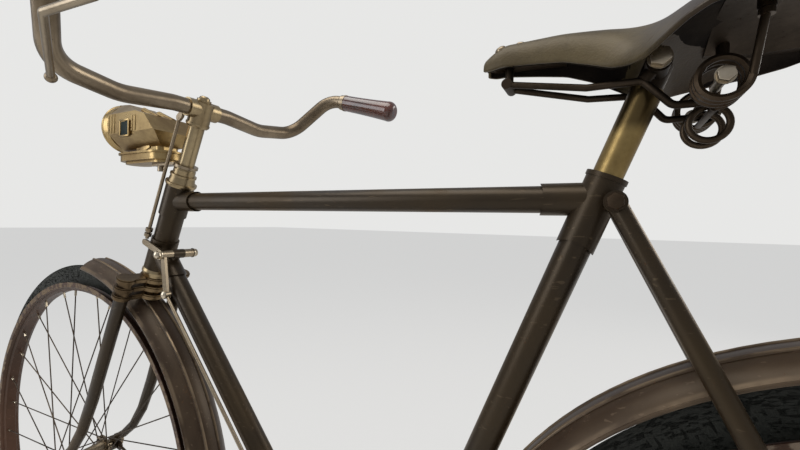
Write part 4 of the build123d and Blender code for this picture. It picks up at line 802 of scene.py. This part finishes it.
# %% [markdown]
# The lamp's front is a domed glass. It could be a scaled sphere, but a real one is thin. Its profile is an
# arc out from the middle and a slightly smaller arc back, closed and turned about the lamp's axis, so that
# light passes it as through a real lens.

# %% Lamp glass
lens_low, lens_high = node_corners("lamp_lens")
lamp_axis = ((lens_low + lens_high) / 2).z
dome_height = 9
dome_radius = (lens_high.y - lens_low.y) / 2 / MM - 0.4
quarter_turn = [math.radians(angle) for angle in range(0, 91, 9)]
outer_arc = [(math.cos(angle) * dome_height, math.sin(angle) * dome_radius) for angle in quarter_turn]
inner_arc = [(height * 0.72, radius * 0.93) for height, radius in reversed(outer_arc)]
glass_dome = bmesh.new()
turned(glass_dome, (lens_low.x + 0.4 * MM, 0, lamp_axis), (1, 0, 0), outer_arc + inner_arc, 48)
piece("lamp_glass_dome", glass_dome, "lens_glass", "steering", 60.0, ("lamp_lens",))

# %% [markdown]
# A lamp of this kind is folded from sheet brass, with a pane let into each side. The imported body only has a
# shallow recess there. The side could be cut through and glazed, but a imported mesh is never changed, so a
# thin pane fills the recess, and four bars that are sunk into the sheet frame it.


# %% Lamp windows and their frames
def at_lamp(behind, sideways, above):
    """A place behind the lamp's front, off its middle and above its axis, all in millimetres."""
    return Vector((lamp_high.x - behind * MM, sideways * MM, lamp_axis + above * MM))


lamp_high = node_corners("lamp_body")[1]
lamp_half = lamp_high.y / MM
pane_size = (19, 2.6, 21)
frame_thickness = 4.4
# behind the front, above the axis, length, height
frame_bars = ((55, 3.5, 25, 3), (55, -21, 25, 3), (43.5, -9, 3, 26), (66.5, -9, 3, 26))
windows = bmesh.new()
trim = bmesh.new()
for side in (1, -1):
    strip(windows, Matrix.Translation(at_lamp(55, side * (lamp_half - 1.1), -9)), pane_size, 0.8)
    for behind, above, length, height in frame_bars:
        middle = at_lamp(behind, side * (lamp_half - 1.2), above)
        strip(trim, Matrix.Translation(middle), (length, frame_thickness, height), 0.9)
piece("lamp_windows", windows, "shaded_window_glass", "steering")

# %% [markdown]
# What else catches the light on the lamp is its trim: upright ribs before and behind each window, raised
# edges along the sloping roof, a slanting flap on each side of the neck above the tank, and a rolled bead on
# the front ring. All of it could be sculpted into one shell. Real trim is soldered on, so each rib is a
# small bar that stands a little way into the sheet, and only the bead is turned.

# %% Lamp ribs, roof edges, flaps and front ring
# behind the front, length
ribs = ((12, 30), (20, 30), (28, 30), (76, 24), (84, 24))
# behind the front, above the axis
roof_edge = ((0, 37), (24, 34), (50, 22), (94, 9))
roof_half = 14.5
flap_size = (46, 2.4, 9)
flap_slant = math.radians(18)
for side in (1, -1):
    for behind, length in ribs:
        foot = at_lamp(behind, side * (lamp_half - 0.6), -15)
        prism(trim, foot, (0, 0, 1), 1.9 * MM, length * MM, 10, 0.0, 0.5 * MM)
    corners = [at_lamp(behind, side * roof_half, above) for behind, above in roof_edge]
    for start, end in zip(corners, corners[1:]):
        prism(trim, start, end - start, 1.7 * MM, (end - start).length, 10, 0.0, 0.4 * MM)
    hinge = Matrix.Translation(at_lamp(66, side * 17.6, -41))
    strip(trim, hinge @ Matrix.Rotation(flap_slant, 4, "Y"), flap_size, 0.8)
bezel_low, bezel_high = node_corners("lamp_bezel")
ring = (bezel_high.z - bezel_low.z) / 2 / MM
bead = ((-3, ring - 1.5), (-2, ring + 0.2), (0, ring + 1.0), (2, ring + 0.2), (3, ring - 1.5),
        (-3, ring - 1.5))
turned(trim, (bezel_low.x + 15 * MM, 0, lamp_axis), (1, 0, 0), bead, 56)
piece("lamp_trim", trim, "aged_brass", "steering", 32.0)

# %% [markdown]
# Under the saddle the clamp's bolt and the coils' bolts end in bright nuts that show against the dark
# hide. They could be modelled one by one. They are the same nuts as on the axles, only smaller, so one loop
# sets them on both sides, with the shank that each coil hangs on.

# %% Nuts under the saddle
clamp_bolt = Vector((42.8, 0, -52)) * MM
coil_bolt = Vector((7.8, 0, -78)) * MM
# how far out its face is, then radius, height and turn of the nut
clamp_nut = (35.2, (7.6, 5.0, 11.0))
coil_nut = (57.5, (5.6, 4.5, 11.0))
coil_shank = ((0, 0), (0, 3.6), (29.8, 3.6), (29.8, 0))
coil_shank_root = 28 * MM
saddle_nuts = bmesh.new()
for side in (1, -1):
    outward = Vector((0, side, 0))
    for bolt, (face, nut) in ((clamp_bolt, clamp_nut), (coil_bolt, coil_nut)):
        hex_nut(saddle_nuts, bolt + outward * face * MM, outward, *nut)
    turned(saddle_nuts, coil_bolt + outward * coil_shank_root, outward, coil_shank, 16)
piece("saddle_nuts", saddle_nuts, "bright_screw", "frame", 30.0)

# %% [markdown]
# The rod brake's cross shaft ends in a nut with a domed cap on each side, and the clevis below it has a
# round pin head. They could come from a library of fasteners. As lathe and prism shapes they are a few
# lines, placed from the steering axis that the linkage was built on.

# %% Nuts of the brake linkage
pivot_rise = 41.0 * MM
pivot_behind = 36.0 * MM
pivot = steer_foot + steer_up * pivot_rise - steer_front * pivot_behind
clevis_pin = pivot + Vector((-8.5, 25.8, -59.5)) * MM
# side, how far out the end of the cross shaft is
shaft_ends = ((1, 28.6), (-1, 25.6))
cap_rise = 3.8
domed_cap = ((0, 0), (0, 6.2), (1.6, 5.8), (3.0, 4.0), (3.7, 2.0), (3.9, 0))
brake_nuts = bmesh.new()
for side, face in shaft_ends:
    outward = Vector((0, side, 0))
    hex_nut(brake_nuts, pivot + outward * face * MM, outward, 6.6, 4.0, 20.0)
    turned(brake_nuts, pivot + outward * (face + cap_rise) * MM, outward, domed_cap, 20)
turned(brake_nuts, clevis_pin, (0, 1, 0), domed_cap, 20)
piece("brake_pivot_nuts", brake_nuts, "bright_screw", "frame", 30.0)

# %% [markdown]
# The seat bolt clamps both stays and the lug, and a thin nut closes it on each side. Each pedal's outer
# plate is held by two small bolts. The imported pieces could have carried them, but so small a thing costs
# less as trim. Those of a pedal ride on the pedal's own body, because they turn with it.

# %% Nuts of the seat bolt and bolts of the pedals
seat_bolt = Vector((69.83, 0, -160.98)) * MM
seat_bolt_reach = 37.4 * MM
pedal_plate = 2.9 * MM
pedal_bolt_places = (-25 * MM, 25 * MM)
seat_caps = bmesh.new()
for side in (1, -1):
    hex_nut(seat_caps, seat_bolt + Vector((0, side * seat_bolt_reach, 0)), (0, side, 0), 6.8, 2.6, 8.0)
piece("seat_bolt_nuts", seat_caps, "dark_steel", "frame", 30.0)
for name, side in (("left", 1), ("right", -1)):
    centre = joint_place("pedal_" + name + "_spin")
    rubber_low, rubber_high = node_corners("pedal_rubbers_" + name)
    plate_face = (rubber_high.y if side > 0 else -rubber_low.y) + pedal_plate
    bolts = bmesh.new()
    for offset in pedal_bolt_places:
        hex_nut(bolts, (centre.x + offset, side * plate_face, centre.z), (0, side, 0), 4.6, 3.6, 12.0)
    piece("pedal_bolts_" + name, bolts, "worn_nickel", "pedal_" + name, 30.0)

# %% [markdown]
# The floor is plain and pale. A brighter lamp would whiten it, and bleach the object too. Instead the
# camera's own rays see it partly as a pale glow, while its matt surface still takes the object's shadow.

# %% Floor
floor_reach = 30.0
floor_mesh = bmesh.new()
bmesh.ops.create_grid(floor_mesh, x_segments=1, y_segments=1, size=floor_reach,
                      matrix=Matrix.Translation((0, 0, road)))
floor_data = bpy.data.meshes.new("floor")
floor_mesh.to_mesh(floor_data)
floor_mesh.free()
floor = bpy.data.objects.new("floor", floor_data)
bpy.context.collection.objects.link(floor)
pale = Finish("pale_floor", Base_Color=(0.80, 0.79, 0.77, 1), Roughness=0.9)
glow = pale.node("ShaderNodeEmission", {}, {"Color": (0.78, 0.78, 0.77), "Strength": 1.0})
seen = pale.node("ShaderNodeLightPath", {}, {})
either = pale.node("ShaderNodeMixShader", {}, {0: seen * 0.7})
pale.tree.links.new(pale.shader.outputs[0], either.socket.node.inputs[1])
pale.tree.links.new(glow.socket, either.socket.node.inputs[2])
pale.tree.links.new(either.socket, pale.tree.nodes["Material Output"].inputs[0])
floor_data.materials.append(pale.material)
print("floor at", round(road, 4))

# %% [markdown]
# The room is a soft sky that lights from everywhere, and a paler backdrop that only the camera sees. A real
# wall would throw its own shadow line behind the bicycle, so there is none.

# %% Sky and backdrop
world = bpy.data.worlds.new("studio")
bpy.context.scene.world = world
world.use_nodes = True
sky = world.node_tree
sky.nodes.clear()


def background(colour, strength):
    made = sky.nodes.new("ShaderNodeBackground")
    made.inputs["Color"].default_value = (*colour, 1)
    made.inputs["Strength"].default_value = strength
    return made.outputs[0]


choose = sky.nodes.new("ShaderNodeMixShader")
ray = sky.nodes.new("ShaderNodeLightPath")
output = sky.nodes.new("ShaderNodeOutputWorld")
sky.links.new(ray.outputs["Is Camera Ray"], choose.inputs[0])
sky.links.new(background((0.93, 0.95, 1.0), 0.42), choose.inputs[1])
sky.links.new(background((0.80, 0.80, 0.79), 1.0), choose.inputs[2])
sky.links.new(choose.outputs[0], output.inputs[0])
print("sky nodes", len(sky.nodes))

# %% [markdown]
# Three large area lamps give the metal something to reflect: one overhead, one from the front left like a
# window, and a weaker one from behind on the right that draws the edges. Small lamps could stand nearer, but
# they would give hard spots on every tube.


# %% Lamps
def area_lamp(name, place, aim, size, power, colour):
    light = bpy.data.lights.new(name, "AREA")
    light.shape = "RECTANGLE"
    light.size, light.size_y = size
    light.energy = power
    light.color = colour
    made = bpy.data.objects.new(name, light)
    bpy.context.collection.objects.link(made)
    made.matrix_world = along(place, Vector(place) - Vector(aim))


area_lamp("overhead", (0.5, 0.6, 1.9), (0.3, 0.0, -0.4), (2.6, 1.6), 40.0, (1.0, 0.97, 0.92))
area_lamp("window", (2.6, 2.4, 0.5), (0.4, 0.0, -0.5), (1.6, 2.2), 32.0, (0.97, 0.98, 1.0))
area_lamp("back", (-1.8, -2.2, 0.9), (0.1, 0.0, -0.4), (1.6, 1.6), 26.0, (1.0, 0.96, 0.9))
print("lamps", len(bpy.data.lights))

# %% [markdown]
# The camera stands where the photographer stood, close beside the saddle. Its place, turn and lens could be
# tried until the picture looks right. They were worked out instead, from where the straight tubes and the
# front rim lie in the picture, and are written here as that fit gave them.

# %% Camera
camera_place = Vector((76.2, 392.4, -180.9)) * MM
yaw = math.radians(27.3)
pitch = math.radians(0.43)
roll = math.radians(1.27)
photo_width = 800.0
focal_pixels = 399.0
forward = Vector((math.sin(yaw) * math.cos(pitch), -math.cos(yaw) * math.cos(pitch), -math.sin(pitch)))
level_right = forward.cross(Vector((0, 0, 1))).normalized()
level_up = level_right.cross(forward)
right = level_right * math.cos(roll) + level_up * math.sin(roll)
up = level_up * math.cos(roll) - level_right * math.sin(roll)
camera_data = bpy.data.cameras.new("photographer")
camera_data.sensor_width = 36.0
camera_data.lens = focal_pixels / photo_width * camera_data.sensor_width
camera_data.clip_start = 0.01
camera = bpy.data.objects.new("photographer", camera_data)
bpy.context.collection.objects.link(camera)
camera.matrix_world = Matrix.Translation(camera_place) @ Matrix((right, up, -forward)).transposed().to_4x4()
bpy.context.scene.camera = camera
bpy.context.scene.view_settings.view_transform = "Standard"
print("lens", round(camera_data.lens, 2), "mm")
